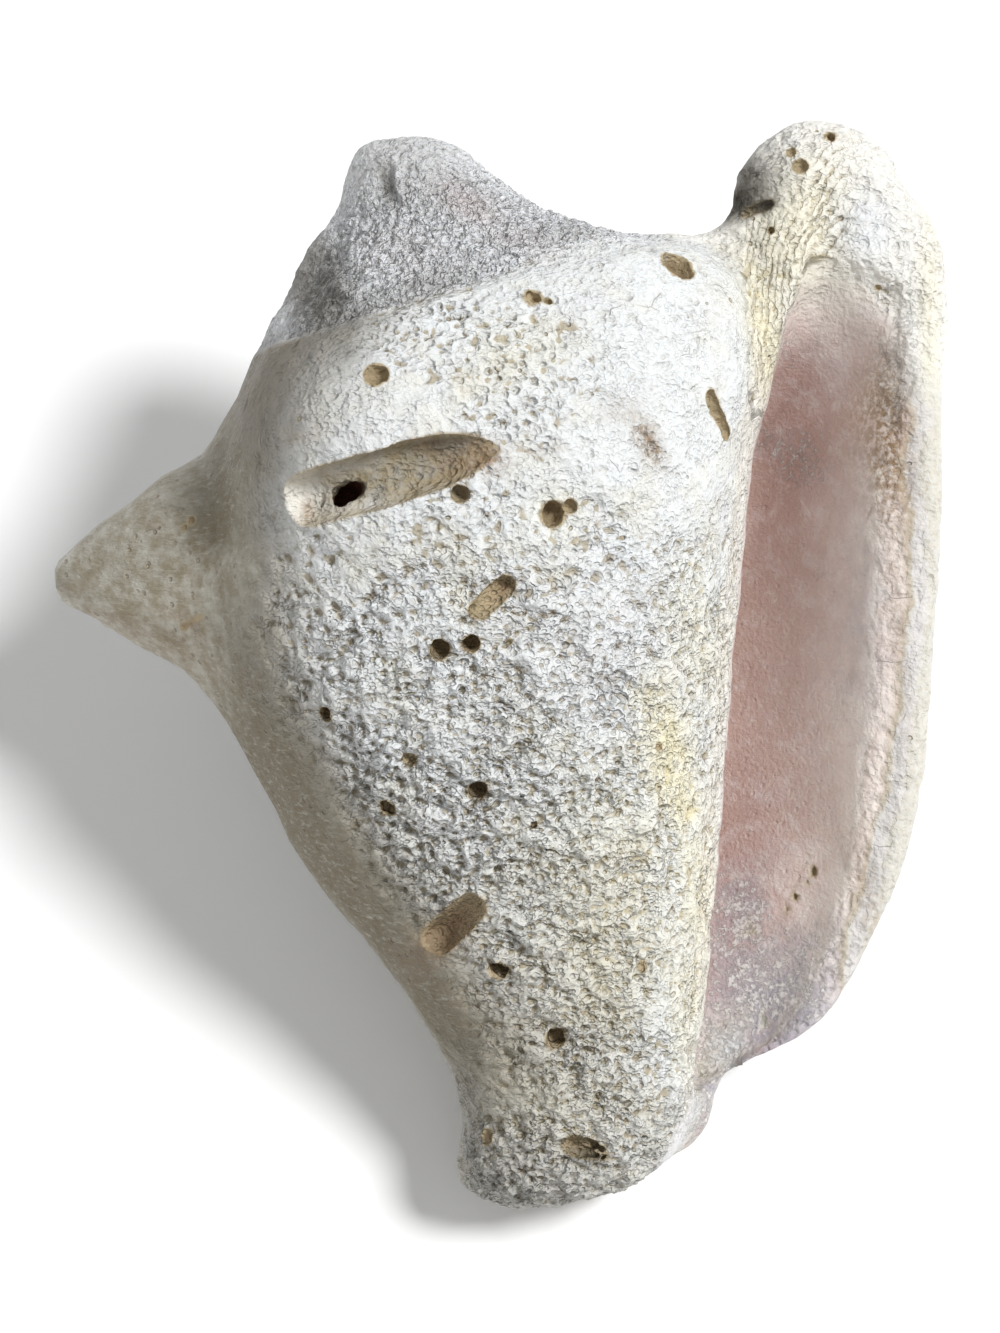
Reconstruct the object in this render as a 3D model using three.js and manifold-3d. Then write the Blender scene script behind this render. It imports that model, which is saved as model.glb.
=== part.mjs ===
// A large conch shell, worn by the sea, lying on its back with its mouth up.
// All sizes are in millimetres.
//
// The shell is shaped in its own frame: x across it from the spine to the lip, y along it towards the
// apex, z out of it on the side of the mouth. It is then leaned back by REST_LEAN onto its three worn
// resting points, and stands on the plane z = 0 with +y still towards the apex.

import * as THREE from 'three';
import { mergeVertices } from 'three/addons/utils/BufferGeometryUtils.js';
import Module from 'manifold-3d';

const wasm = await Module();
wasm.setup();

// How the shell lies
const REST_LEAN = 21.5;
const REST_HEIGHT = 50.7;
const ORIGIN = { x: -0.33, y: 0.04 };

// Size of the net that the surface is made of, across, along and through the shell
const NET_CELL = new THREE.Vector3(5.0, 6.0, 5.0);
const NET_EVENING_ROUNDS = 2;
const NET_BOX = new THREE.Box3(new THREE.Vector3(-90.8, -107, -72.8), new THREE.Vector3(93, 112, 65));

// Ends of the shell, on its own y axis
const APEX_Y = 99.6;
const APEX_ROUNDING = 3;
const BASE_Y = -100.6;
const BASE_ROUNDING = 5;

// Widths of the fillets where one form runs into another
const KNOB_FILLET = 14;
const OLD_KNOB_FILLET = 6;
const SPINE_FILLET = 9;
const LOBE_FILLET = 8;
const LIP_FILLET = 5;
const MOUTH_FILLET = 5;

// The body whorl and spire, as the reach of each slice to the four sides: [height y, reach]
const LEFT = profile([
  [-101, 0], [-95, -6.8], [-83, -6.6], [-74, -9.4], [-55, -21.2], [-37, -34.6], [-15, -46.5], [0, -54.5],
  [20, -55.5], [43, -50.5], [60, -42], [66, -39.3], [73, -37], [84, -32.6], [96, -28], [101, -21.5],
]);
const RIGHT = profile([
  [-101, 8], [-97, 22], [-91, 31.5], [-84, 36], [-75, 37.5], [-40, 40.2], [0, 43], [20, 45], [40, 47],
  [60, 49.5], [71, 45.5], [77, 36], [81, 20.5], [84, 12], [88, 5], [96, -5.5], [101, -15],
]);
const FRONT = profile([
  [-101, 3], [-93, 13], [-80, 17], [-60, 22.5], [-35, 32], [-10, 41], [10, 46], [30, 48.5], [46, 47],
  [60, 40.5], [73, 31], [84, 21], [96, 10.5], [101, 3],
]);
const BACK = profile([
  [-101, 6], [-93, 17.5], [-80, 20], [-60, 25], [-35, 36], [-10, 47.5], [10, 53.5], [30, 56], [46, 54],
  [60, 47], [73, 34], [84, 22], [96, 10.5], [101, 3],
]);
const BODY_POWER = 2.1;

// The outer lip: how far right it reaches, and how far forward its rim stands
const LIP = profile([
  [-101, 8], [-97, 22], [-91, 33.5], [-85, 39.5], [-79, 41], [-74, 45.5], [-69, 55.5], [-62, 63], [-52, 68.6],
  [-38, 74.5], [-20, 78.5], [0, 80], [25, 81.3], [65, 81.2], [78, 80], [84, 76], [88, 69], [92, 58], [96, 44],
]);
const RIM = profile([
  [-100, -3], [-70, -2], [-55, 0], [-30, 4], [0, 7], [30, 9], [60, 9], [90, 6],
]);
const LIP_POWER = 1.5;
const RIM_ROUNDING = 5;
const RIM_SHOULDER = 6;
const LIP_TOP_Y = 79.5;
const LIP_TOP_ROUNDING = 5;
const LIP_TOP_RISE = { from: 50, slope: 0.25 };

// The lobe that the lip rises to beside the spire, thinner than it is wide
const LOBE = taper([58.6, 84.3, 0], 16.5, [60.5, 66, 0], 19, 1.5);

// The mouth: its right edge, the back of the columella beside it, and the wall of the lip behind it
const MOUTH = profile([
  [-74, 37], [-68, 43.5], [-62, 50.5], [-52, 58], [-38, 65], [-20, 69.6], [0, 72], [20, 73], [50, 72.3],
  [60, 69.5], [66, 63], [69, 54],
]);
const COLUMELLA = profile([
  [-100, 3], [-75, 6], [-60, 9], [-30, 15], [10, 20], [45, 20], [70, 12],
]);
const LIP_WALL = 9.5;
const MOUTH_TOP_Y = 68;
const MOUTH_BASE_Y = -76;
const MOUTH_END_ROUNDING = 10;
const MOUTH_ROUNDING = 4;

// How far the mouth's hollow reaches to the left of the columella's right side, behind it
const UNDERCUT = 8.5;

// The lip's growth seam on the spire, seen from the front: [x, height y]
const SUTURE = profile([
  [-50, 56], [-29.7, 58.2], [-9.4, 64.6], [4.7, 68], [21, 72.3], [39.6, 78.2],
]);
const SUTURE_LEDGE = 2.4;
const SUTURE_BACK = { y: 56, share: 0.65 };

// The spine on the left shoulder, and the knobs that are left of its fellows round the shell
const SPINE = taper([-52, 18.2, -1], 20, [-76.8, 16.2, -1], 6.1, 1.1);
const FRONT_KNOB = taper([-18.5, 42, 20], 24, [-23, 40.5, 34], 17, 1);
const OLD_KNOB = taper([-30, 59, 2], 12, [-38, 60, 2], 6.5, 1);
const BACK_KNOBS = [
  taper([-20, 27, -34], 20, [-33, 25, -56.4], 8.5, 1),
  taper([20, 27, -34], 20, [31, 27, -57.4], 8.5, 1),
];

// The broken boring across the front: its middle line, [x, y, depth below the surface]
const GALLERY = {
  line: [[-34.2, 28.3, 0.5], [-29.9, 29.7, 1], [-22.3, 31.6, 1.5], [-13, 34, 1], [-4.5, 36.2, 0]],
  radius: 4.8,
};
const GALLERY_BREACH = { at: [-26, 30.8], radius: 2.4, depth: 24 };

// Smaller borings that run along the surface
const SHORT_BORINGS = [
  { line: [[-12.3, -49.8, 0.5], [-5, -42.7, 0]], radius: 2.9 },
  { line: [[-4.3, 8.8, 0], [1.1, 14, 0]], radius: 2 },
  { line: [[37.5, 47.2, 0.5], [40.5, 41.1, 0.5]], radius: 1.5 },
  { line: [[13.7, -86.6, 0], [18.6, -88.6, 0]], radius: 1.9 },
];

// Round borings that go straight in: [x, y], radius and depth
const PITS = [
  { at: [-21.1, 50], radius: 2.1, depth: 5 },
  { at: [6.8, 64.1], radius: 1.5, depth: 4 },
  { at: [31.8, 71.6], radius: 3.4, depth: 4 },
  { at: [-6.7, 29.2], radius: 1.6, depth: 4 },
  { at: [9.4, 26], radius: 2.3, depth: 5 },
  { at: [-10.5, 2.6], radius: 1.8, depth: 5 },
  { at: [-5, 3.7], radius: 1.6, depth: 5 },
  { at: [-30.8, -8.7], radius: 1.5, depth: 4 },
  { at: [-16.1, -16.8], radius: 1.4, depth: 4 },
  { at: [-4, -22.6], radius: 1.8, depth: 5 },
  { at: [-20.3, -25.3], radius: 1.5, depth: 4 },
  { at: [-0.6, -54.3], radius: 1.7, depth: 4 },
  { at: [9.8, -66.8], radius: 1.7, depth: 4 },
  { at: [-3.1, -85.4], radius: 1.6, depth: 3 },
  { at: [54.5, 91.1], radius: 1.5, depth: 3 },
];
const BORING_SIDES = 8;
const BORING_CAP_STEPS = 2;

// The siphonal canal, a groove between the columella's foot and the wall behind it
const CANAL = { line: [[38.6, -74, -3], [36.6, -82, -1], [29.5, -91, 3]], radius: 2.4 };

// A smooth curve through [position, value] points, level past its ends.
function profile(points) {
  const positions = points.map((point) => point[0]);
  const values = points.map((point) => point[1]);
  const curve = new THREE.CubicInterpolant(positions, values, 1, new Float64Array(1));
  return (position) => curve.evaluate(position)[0];
}

// A round cone between two balls, its z stretched by flat so that it is thinner than it is wide.
function taper(from, fromRadius, to, toRadius, flat) {
  const stretch = new THREE.Vector3(1, 1, flat);
  const start = new THREE.Vector3(...from).multiply(stretch);
  const axis = new THREE.Vector3(...to).multiply(stretch).sub(start);
  const length = axis.length();
  const narrowing = (fromRadius - toRadius) / length;
  const lead = narrowing / Math.sqrt(1 - narrowing * narrowing) / length;
  const offset = new THREE.Vector3();
  return (x, y, z) => {
    offset.set(x, y, z * flat).sub(start);
    const along = offset.dot(axis) / (length * length);
    const away = Math.sqrt(Math.max(offset.lengthSq() - along * along * length * length, 0));
    const share = THREE.MathUtils.clamp(along - lead * away, 0, 1);
    const radius = THREE.MathUtils.lerp(fromRadius, toRadius, share);
    return offset.addScaledVector(axis, -share).length() - radius;
  };
}

// How far a point of a slice is outside an oval that reaches a along x and b along z.
function oval(x, z, a, b, power) {
  const short = Math.max(1 - Math.min(a, b), 0);
  const reachX = Math.max(a, 1);
  const reachZ = Math.max(b, 1);
  const ratio = (Math.abs(x / reachX) ** power + Math.abs(z / reachZ) ** power) ** (1 / power);
  const radius = Math.hypot(x, z);
  const distance = ratio > 1e-3 ? radius - radius / ratio : -Math.min(reachX, reachZ);
  return distance + 2 * short;
}

// Join and cut with a fillet of the given width.
function join(a, b, width) {
  const closeness = Math.max(width - Math.abs(a - b), 0) / width;
  return Math.min(a, b) - closeness * closeness * width / 4;
}

function meet(a, b, width) {
  return -join(-a, -b, width);
}

// The slice at a height: its middle, its half width, and its reach to the front and the back.
function sliceAt(y) {
  const left = LEFT(y);
  const right = RIGHT(y);
  return { middle: (left + right) / 2, half: (right - left) / 2, front: FRONT(y), back: BACK(y) };
}

function bodyWhorl(x, y, z, slice) {
  const reach = z > 0 ? slice.front : slice.back;
  let body = oval(x - slice.middle, z, slice.half, reach, BODY_POWER);
  body = meet(body, y - APEX_Y, APEX_ROUNDING);
  body = meet(body, BASE_Y - y, BASE_ROUNDING);
  body = join(body, OLD_KNOB(x, y, z), OLD_KNOB_FILLET);
  const seamY = THREE.MathUtils.lerp(SUTURE(x), SUTURE_BACK.y, z > 0 ? 0 : SUTURE_BACK.share);
  body += SUTURE_LEDGE * THREE.MathUtils.smoothstep(y - seamY, -0.5, 2.5);
  for (const knob of [...BACK_KNOBS, FRONT_KNOB]) {
    body = join(body, knob(x, y, z), KNOB_FILLET);
  }
  return join(body, SPINE(x, y, z), SPINE_FILLET);
}

function outerLip(x, y, z, slice) {
  const behind = RIM(y) - RIM_SHOULDER;
  const onRight = x > slice.middle;
  const width = onRight ? LIP(y) - slice.middle : slice.half;
  const power = onRight ? LIP_POWER : BODY_POWER;
  let lip = oval(x - slice.middle, Math.min(z - behind, 0), width, slice.back + behind, power);
  lip = meet(lip, z - RIM(y), RIM_ROUNDING);
  lip = meet(lip, BASE_Y - y, BASE_ROUNDING);
  const topY = LIP_TOP_Y + LIP_TOP_RISE.slope * Math.max(x - LIP_TOP_RISE.from, 0);
  lip = meet(lip, y - topY, LIP_TOP_ROUNDING);
  return join(lip, LOBE(x, y, z), LOBE_FILLET);
}

// The mouth's hollow, which ends a short way behind the columella.
function mouth(x, y, z, slice) {
  const behind = RIM(y) - RIM_SHOULDER;
  const depth = slice.back + behind - LIP_WALL;
  const across = Math.max(x - slice.middle, 0);
  let hollow = oval(across, Math.min(z - behind, 0), MOUTH(y) - slice.middle, depth, LIP_POWER);
  const columellaReach = z > 0 ? slice.front : COLUMELLA(y);
  const columella = oval(x - slice.middle, z, slice.half, columellaReach, BODY_POWER);
  hollow = meet(hollow, -columella, MOUTH_ROUNDING);
  hollow = meet(hollow, slice.middle + slice.half - UNDERCUT - x, MOUTH_ROUNDING);
  hollow = meet(hollow, y - MOUTH_TOP_Y, MOUTH_END_ROUNDING);
  return meet(hollow, MOUTH_BASE_Y - y, MOUTH_END_ROUNDING);
}

// Below 0 inside the shell, above 0 outside it and in its mouth.
function shellField(x, y, z) {
  const slice = sliceAt(y);
  const solid = join(bodyWhorl(x, y, z, slice), outerLip(x, y, z, slice), LIP_FILLET);
  return meet(solid, -mouth(x, y, z, slice), MOUTH_FILLET);
}

// The direction straight out of the surface, which the field grows along.
function slopeAt(field, point, target) {
  const reach = 0.05;
  const { x, y, z } = point;
  return target.set(
    field(x + reach, y, z) - field(x - reach, y, z),
    field(x, y + reach, z) - field(x, y - reach, z),
    field(x, y, z + reach) - field(x, y, z - reach),
  ).divideScalar(2 * reach);
}

// The closed surface where a field is 0. Each cell of a grid that the surface crosses gets one point for
// each sheet of the surface in it, each grid edge that it crosses gets a face between the four cells round
// it, and the points are then spread evenly and drawn onto the surface. A face is folded along the diagonal
// that lies closer to the surface, so that the folds follow its ridges.
function skinOf(field, box, cell) {
  const count = box.getSize(new THREE.Vector3()).divide(cell).ceil();
  const stride = [1, count.x + 1, (count.x + 1) * (count.y + 1)];
  const values = new Float64Array(stride[2] * (count.z + 1));
  const corner = new THREE.Vector3();
  const cornerAt = (i, j, k) => corner.set(i, j, k).multiply(cell).add(box.min);
  for (let k = 0; k <= count.z; k += 1) {
    for (let j = 0; j <= count.y; j += 1) {
      for (let i = 0; i <= count.x; i += 1) {
        cornerAt(i, j, k);
        values[i + j * stride[1] + k * stride[2]] = field(corner.x, corner.y, corner.z);
      }
    }
  }

  const bit = (number, axis) => (number >> axis) & 1;
  const others = (axis) => [(axis + 1) % 3, (axis + 2) % 3];
  const edgeOf = (axis, low) => axis * 8 + low;
  const points = [];
  const pointOfEdge = new Map();
  for (let k = 0; k < count.z; k += 1) {
    for (let j = 0; j < count.y; j += 1) {
      for (let i = 0; i < count.x; i += 1) {
        const base = i + j * stride[1] + k * stride[2];
        const stepTo = (low) => bit(low, 0) + bit(low, 1) * stride[1] + bit(low, 2) * stride[2];
        const valueOf = (low) => values[base + stepTo(low)];
        const crossed = new Map();
        for (let axis = 0; axis < 3; axis += 1) {
          for (let low = 0; low < 8; low += 1) {
            const high = low | (1 << axis);
            if (low !== high && (valueOf(low) < 0) !== (valueOf(high) < 0)) {
              crossed.set(edgeOf(axis, low), edgeOf(axis, low));
            }
          }
        }
        const rootOf = (edge) => {
          let root = edge;
          while (crossed.get(root) !== root) {
            root = crossed.get(root);
          }
          return root;
        };
        const link = (a, b) => crossed.set(rootOf(a), rootOf(b));
        for (let axis = 0; axis < 3; axis += 1) {
          const [u, v] = others(axis);
          for (const side of [0, 1 << axis]) {
            const ring = [side, side | (1 << u), side | (1 << u) | (1 << v), side | (1 << v)];
            const edges = [edgeOf(u, ring[0]), edgeOf(v, ring[1]), edgeOf(u, ring[3]), edgeOf(v, ring[0])];
            const cut = edges.filter((edge) => crossed.has(edge));
            if (cut.length === 2) {
              link(cut[0], cut[1]);
            }
            if (cut.length === 4) {
              ring.forEach((low, turn) => {
                if (valueOf(low) >= 0) {
                  link(edges[turn], edges[(turn + 3) % 4]);
                }
              });
            }
          }
        }
        const sheets = new Map();
        for (const edge of crossed.keys()) {
          const root = rootOf(edge);
          if (!sheets.has(root)) {
            sheets.set(root, { number: points.length, sum: new THREE.Vector3(), size: 0 });
            points.push(sheets.get(root));
          }
          const sheet = sheets.get(root);
          const axis = Math.floor(edge / 8);
          const low = edge % 8;
          const at = [i + bit(low, 0), j + bit(low, 1), k + bit(low, 2)];
          const from = valueOf(low);
          at[axis] += from / (from - valueOf(low | (1 << axis)));
          sheet.sum.add(cornerAt(...at));
          sheet.size += 1;
          pointOfEdge.set(base * 24 + edge, sheet.number);
        }
      }
    }
  }

  const slope = new THREE.Vector3();
  const drawOntoSurface = (point) => {
    for (let round = 0; round < 3; round += 1) {
      slopeAt(field, point, slope);
      const step = -field(point.x, point.y, point.z) / Math.max(slope.lengthSq(), 0.05);
      point.add(slope.multiplyScalar(step).clampLength(0, 2));
    }
  };
  const spots = points.map((sheet) => sheet.sum.divideScalar(sheet.size));
  const quads = [];
  for (let axis = 0; axis < 3; axis += 1) {
    const [u, v] = others(axis);
    for (let k = 1; k < count.z; k += 1) {
      for (let j = 1; j < count.y; j += 1) {
        for (let i = 1; i < count.x; i += 1) {
          const base = i + j * stride[1] + k * stride[2];
          const inside = values[base] < 0;
          if (inside !== values[base + stride[axis]] < 0) {
            const around = [[0, 0], [1, 0], [1, 1], [0, 1]].map(([du, dv]) => pointOfEdge.get(
              (base - du * stride[u] - dv * stride[v]) * 24 + edgeOf(axis, (du << u) | (dv << v)),
            ));
            quads.push(inside ? around : around.reverse());
          }
        }
      }
    }
  }
  spots.forEach(drawOntoSurface);
  for (let round = 0; round < NET_EVENING_ROUNDS; round += 1) {
    const sums = spots.map(() => new THREE.Vector3());
    const sizes = new Uint16Array(spots.length);
    for (const quad of quads) {
      quad.forEach((number, turn) => {
        sums[number].add(spots[quad[(turn + 1) % 4]]);
        sizes[number] += 1;
      });
    }
    spots.forEach((spot, number) => {
      spot.lerp(sums[number].divideScalar(sizes[number]), 0.5);
      drawOntoSurface(spot);
    });
  }

  const missAt = (a, b) => {
    const middle = spots[a].clone().lerp(spots[b], 0.5);
    return Math.abs(field(middle.x, middle.y, middle.z));
  };
  const index = quads.flatMap(([a, b, c, d]) => (
    missAt(a, c) < missAt(b, d) ? [a, b, c, a, c, d] : [b, c, d, b, d, a]
  ));
  const position = new Float32Array(spots.flatMap((spot) => spot.toArray()));
  const geometry = new THREE.BufferGeometry();
  geometry.setAttribute('position', new THREE.BufferAttribute(position, 3));
  geometry.setIndex(index);
  return geometry;
}

// The outermost point of the shell straight in front of a place.
function surfaceFrom(x, y) {
  let outside = 62;
  while (shellField(x, y, outside) > 0) {
    outside -= 0.5;
  }
  return new THREE.Vector3(x, y, outside);
}

// A closed rod with round ends from one point to another.
function rod(from, to, radius) {
  const axis = to.clone().sub(from);
  const geometry = new THREE.CapsuleGeometry(radius, axis.length(), BORING_CAP_STEPS, BORING_SIDES);
  const up = new THREE.Vector3(0, 1, 0);
  geometry.applyQuaternion(new THREE.Quaternion().setFromUnitVectors(up, axis.normalize()));
  const middle = from.clone().add(to).divideScalar(2);
  return geometry.translate(middle.x, middle.y, middle.z);
}

// The rods of a boring that follows the surface.
function boringAlong({ line, radius }) {
  const stations = line.map(([x, y, depth]) => {
    const point = surfaceFrom(x, y);
    const out = slopeAt(shellField, point, new THREE.Vector3()).normalize();
    return point.addScaledVector(out, -depth);
  });
  return stations.slice(1).map((station, number) => rod(stations[number], station, radius));
}

// The rod of a boring that goes straight in.
function boringInto({ at, radius, depth }) {
  const mouthPoint = surfaceFrom(...at);
  const out = slopeAt(shellField, mouthPoint, new THREE.Vector3()).normalize();
  const outer = mouthPoint.clone().addScaledVector(out, radius);
  const inner = mouthPoint.clone().addScaledVector(out, radius - depth);
  return rod(outer, inner, radius);
}

function solidOf(geometry) {
  geometry.deleteAttribute('normal');
  geometry.deleteAttribute('uv');
  const merged = mergeVertices(geometry, 1e-4);
  return new wasm.Manifold(new wasm.Mesh({
    numProp: 3,
    vertProperties: new Float32Array(merged.getAttribute('position').array),
    triVerts: new Uint32Array(merged.getIndex().array),
  }));
}

function geometryOf(solid) {
  const mesh = solid.getMesh();
  const geometry = new THREE.BufferGeometry();
  geometry.setAttribute('position', new THREE.BufferAttribute(mesh.vertProperties, 3));
  geometry.setIndex(new THREE.BufferAttribute(mesh.triVerts, 1));
  geometry.computeVertexNormals();
  return geometry;
}

// The place of the shell's own frame in the frame that it rests in.
const rest = new THREE.Matrix4()
  .makeTranslation(-ORIGIN.x, -ORIGIN.y, REST_HEIGHT)
  .multiply(new THREE.Matrix4().makeRotationX(THREE.MathUtils.degToRad(REST_LEAN)));

// The plane that the shell has worn flat on, as a block below it.
function ground() {
  const size = 300;
  const block = new THREE.BoxGeometry(size, size, size).translate(0, 0, -size / 2);
  return block.applyMatrix4(rest.clone().invert());
}

function wornShell() {
  const cutters = [
    ...boringAlong(GALLERY),
    boringInto(GALLERY_BREACH),
    ...SHORT_BORINGS.flatMap(boringAlong),
    ...PITS.map(boringInto),
    ...boringAlong(CANAL),
    ground(),
  ];
  let solid = solidOf(skinOf(shellField, NET_BOX, NET_CELL));
  for (const cutter of cutters) {
    solid = solid.subtract(solidOf(cutter));
  }
  return geometryOf(solid);
}

const shellMaterial = new THREE.MeshStandardMaterial({ color: 0xe6e6df, roughness: 0.75, metalness: 0 });
const shell = new THREE.Mesh(wornShell(), shellMaterial);
shell.name = 'shell';
shell.applyMatrix4(rest);

const conch = new THREE.Group();
conch.add(shell);

export default conch;
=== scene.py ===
"""A large conch shell, worn, pitted and bored by the sea, lying on its back on a pale floor."""

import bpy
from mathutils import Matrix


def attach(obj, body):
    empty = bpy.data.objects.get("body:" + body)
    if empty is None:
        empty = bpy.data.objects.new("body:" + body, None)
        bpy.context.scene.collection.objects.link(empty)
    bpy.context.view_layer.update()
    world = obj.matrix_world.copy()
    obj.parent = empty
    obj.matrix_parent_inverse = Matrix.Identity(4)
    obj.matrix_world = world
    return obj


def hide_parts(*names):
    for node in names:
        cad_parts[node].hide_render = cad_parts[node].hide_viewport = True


bl_info = {
    "name": "Conch shell",
    "version": (1, 0, 0),
    "blender": (4, 5, 0),
    "location": "View3D > Sidebar > Conch",
    "description": "Builds a sea-worn conch shell and the studio it lies in",
    "category": "Add Mesh",
}

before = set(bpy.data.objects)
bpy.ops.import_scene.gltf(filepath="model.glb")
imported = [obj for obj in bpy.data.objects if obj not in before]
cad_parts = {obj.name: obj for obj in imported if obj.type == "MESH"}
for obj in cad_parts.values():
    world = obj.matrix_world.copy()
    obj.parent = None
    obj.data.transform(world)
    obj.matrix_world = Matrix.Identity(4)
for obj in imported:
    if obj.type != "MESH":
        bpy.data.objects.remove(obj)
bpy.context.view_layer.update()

import math

import bpy
import numpy as np
from bpy.props import FloatProperty, FloatVectorProperty, IntProperty, PointerProperty
from mathutils import Matrix, Vector

# The shell's own frame, in millimetres: x from the spine to the lip, y towards the apex, z out of the mouth's
# side. The shell rests leaned back by REST_LEAN.
REST_LEAN = math.radians(21.5)
REST_HEIGHT = 50.7
ORIGIN = (-0.33, 0.04)
LEAN = np.array([
    [1, 0, 0],
    [0, math.cos(REST_LEAN), -math.sin(REST_LEAN)],
    [0, math.sin(REST_LEAN), math.cos(REST_LEAN)],
])
SHIFT = np.array([-ORIGIN[0], -ORIGIN[1], REST_HEIGHT])

# Where the photograph's frame lies on the shell's own frame
PIXEL = 0.1835
PHOTO_SIZE = (1000, 1333)
PHOTO_MIDDLE = (500, 667)
CAMERA_DISTANCE = 650


def to_rest(points):
    """Points of the shell's own frame, in millimetres, as it rests, in metres."""
    return (points @ LEAN.T + SHIFT) / 1000


def to_own(points):
    """Points as the shell rests, in metres, in its own frame, in millimetres."""
    return (points * 1000 - SHIFT) @ LEAN


def from_photo(column, row):
    """The x and y, in millimetres, of a place in the photograph's frame, on the plane through the shell's middle."""
    return (column - PHOTO_MIDDLE[0]) * PIXEL, (PHOTO_MIDDLE[1] - row) * PIXEL


def onto_middle(x, y, z):
    """Where the camera sees points on the plane through the shell's middle."""
    nearness = CAMERA_DISTANCE / (CAMERA_DISTANCE - z)
    return x * nearness, y * nearness


def smooth(value, low, high):
    """0 below low, 1 above high, and a soft step between them."""
    share = np.clip((value - low) / (high - low), 0, 1)
    return share * share * (3 - 2 * share)


def profile(*points):
    """A smooth curve through (position, value) points, level past its ends."""
    t = np.array([point[0] for point in points], float)
    v = np.array([point[1] for point in points], float)
    fine = np.linspace(t[0], t[-1], 4001)
    i = np.clip(np.searchsorted(t, fine, side="right") - 1, 0, len(t) - 2)
    before = np.where(i > 0, i - 1, i + 1)
    after = np.where(i < len(t) - 2, np.minimum(i + 2, len(t) - 1), i)
    half = (t[i + 1] - t[i]) / 2
    pull = half / (t[i] - t[before])
    push = half / (t[after] - t[i + 1])
    p = (fine - t[i]) / (t[i + 1] - t[i])
    value = (
        v[before] * (-pull * p**3 + 2 * pull * p**2 - pull * p)
        + v[i] * ((1 + pull) * p**3 - (1.5 + 2 * pull) * p**2 + (pull - 0.5) * p + 1)
        + v[i + 1] * (-(1 + push) * p**3 + (1.5 + push) * p**2 + 0.5 * p)
        + v[after] * (push * p**3 - push * p**2)
    )
    return lambda position: np.interp(position, fine, value)


def traced(*places):
    """The x of an edge at each y, in millimetres, from its (column, row) places in the photograph's frame."""
    edge = sorted((from_photo(*place) for place in places), key=lambda place: place[1])
    return profile(*((y, x) for x, y in edge))


# The body whorl and spire: the reach of each slice to its four sides
LEFT = profile(
    (-101, 0), (-95, -6.8), (-83, -6.6), (-74, -9.4), (-55, -21.2), (-37, -34.6), (-15, -46.5), (0, -54.5),
    (20, -55.5), (43, -50.5), (60, -42), (66, -39.3), (73, -37), (84, -32.6), (96, -28), (101, -21.5),
)
RIGHT = profile(
    (-101, 8), (-97, 22), (-91, 31.5), (-84, 36), (-75, 37.5), (-40, 40.2), (0, 43), (20, 45), (40, 47),
    (60, 49.5), (71, 45.5), (77, 36), (81, 20.5), (84, 12), (88, 5), (96, -5.5), (101, -15),
)
FRONT = profile(
    (-101, 3), (-93, 13), (-80, 17), (-60, 22.5), (-35, 32), (-10, 41), (10, 46), (30, 48.5), (46, 47),
    (60, 40.5), (73, 31), (84, 21), (96, 10.5), (101, 3),
)
BACK = profile(
    (-101, 6), (-93, 17.5), (-80, 20), (-60, 25), (-35, 36), (-10, 47.5), (10, 53.5), (30, 56), (46, 54),
    (60, 47), (73, 34), (84, 22), (96, 10.5), (101, 3),
)
BODY_POWER = 2.1
APEX_Y = 99.6
BASE_Y = -100.6

# The outer lip and its lobe
LIP = profile(
    (-101, 8), (-97, 22), (-91, 33.5), (-85, 39.5), (-79, 41), (-74, 45.5), (-69, 55.5), (-62, 63), (-52, 68.6),
    (-38, 74.5), (-20, 78.5), (0, 80), (25, 81.3), (65, 81.2), (78, 80), (84, 76), (88, 69), (92, 58), (96, 44),
)
RIM = profile((-100, -3), (-70, -2), (-55, 0), (-30, 4), (0, 7), (30, 9), (60, 9), (90, 6))
LIP_POWER = 1.5
RIM_SHOULDER = 6
LIP_TOP_Y = 79.5

# The mouth
MOUTH = profile(
    (-78, 37), (-74, 42.5), (-69, 52), (-62, 60), (-52, 65.5), (-38, 69), (-20, 71.5), (0, 72.8), (20, 73.3),
    (50, 72.3), (60, 70.5), (68, 67), (74, 60),
)
COLUMELLA = profile((-100, 3), (-75, 6), (-60, 9), (-30, 15), (10, 20), (45, 20), (70, 12))
LIP_WALL = 9.5
MOUTH_TOP_Y = 58
MOUTH_FLARE_Y = 78
MOUTH_FLARE_LEAN = math.radians(50)
LIP_BEVEL = 9
BEVEL_SLOPE = 0.4
MOUTH_BASE_Y = -78
UNDERCUT = 8.5

# The broken edge of the mouth's lining, along the inside of the lip
LINING = traced(
    (845, 1010), (843, 960), (857, 896), (868, 860), (870, 833), (884, 790), (888, 760), (891, 715), (893, 683),
    (899, 640), (904, 587), (901, 550), (903, 520), (896, 490), (897, 450), (906, 425), (902, 408), (886, 395),
    (880, 375), (877, 345), (879, 310), (872, 285),
)

# The left edge of the white bulge at the shoulder
BULGE_EDGE = profile((-40, -60), (0, -60), (8, -52), (22, -45), (33, -43), (44, -43), (54, -39), (60, -30))

# Where the pitted base gives way to the smooth wall of the canal
CANAL_EDGE = traced((640, 1190), (660, 1155), (670, 1130), (692, 1090), (700, 1050), (706, 1010))

# The lip's growth seam on the spire
SUTURE = profile((-50, 56), (-29.7, 58.2), (-9.4, 64.6), (4.7, 68), (21, 72.3), (39.6, 78.2))
SUTURE_LEDGE = 2.4


def join(a, b, width):
    """The nearer of two forms, with a fillet between them."""
    closeness = np.maximum(width - np.abs(a - b), 0) / width
    return np.minimum(a, b) - closeness**2 * width / 4


def meet(a, b, width):
    """What two forms share, with a rounded edge."""
    return -join(-a, -b, width)


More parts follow.
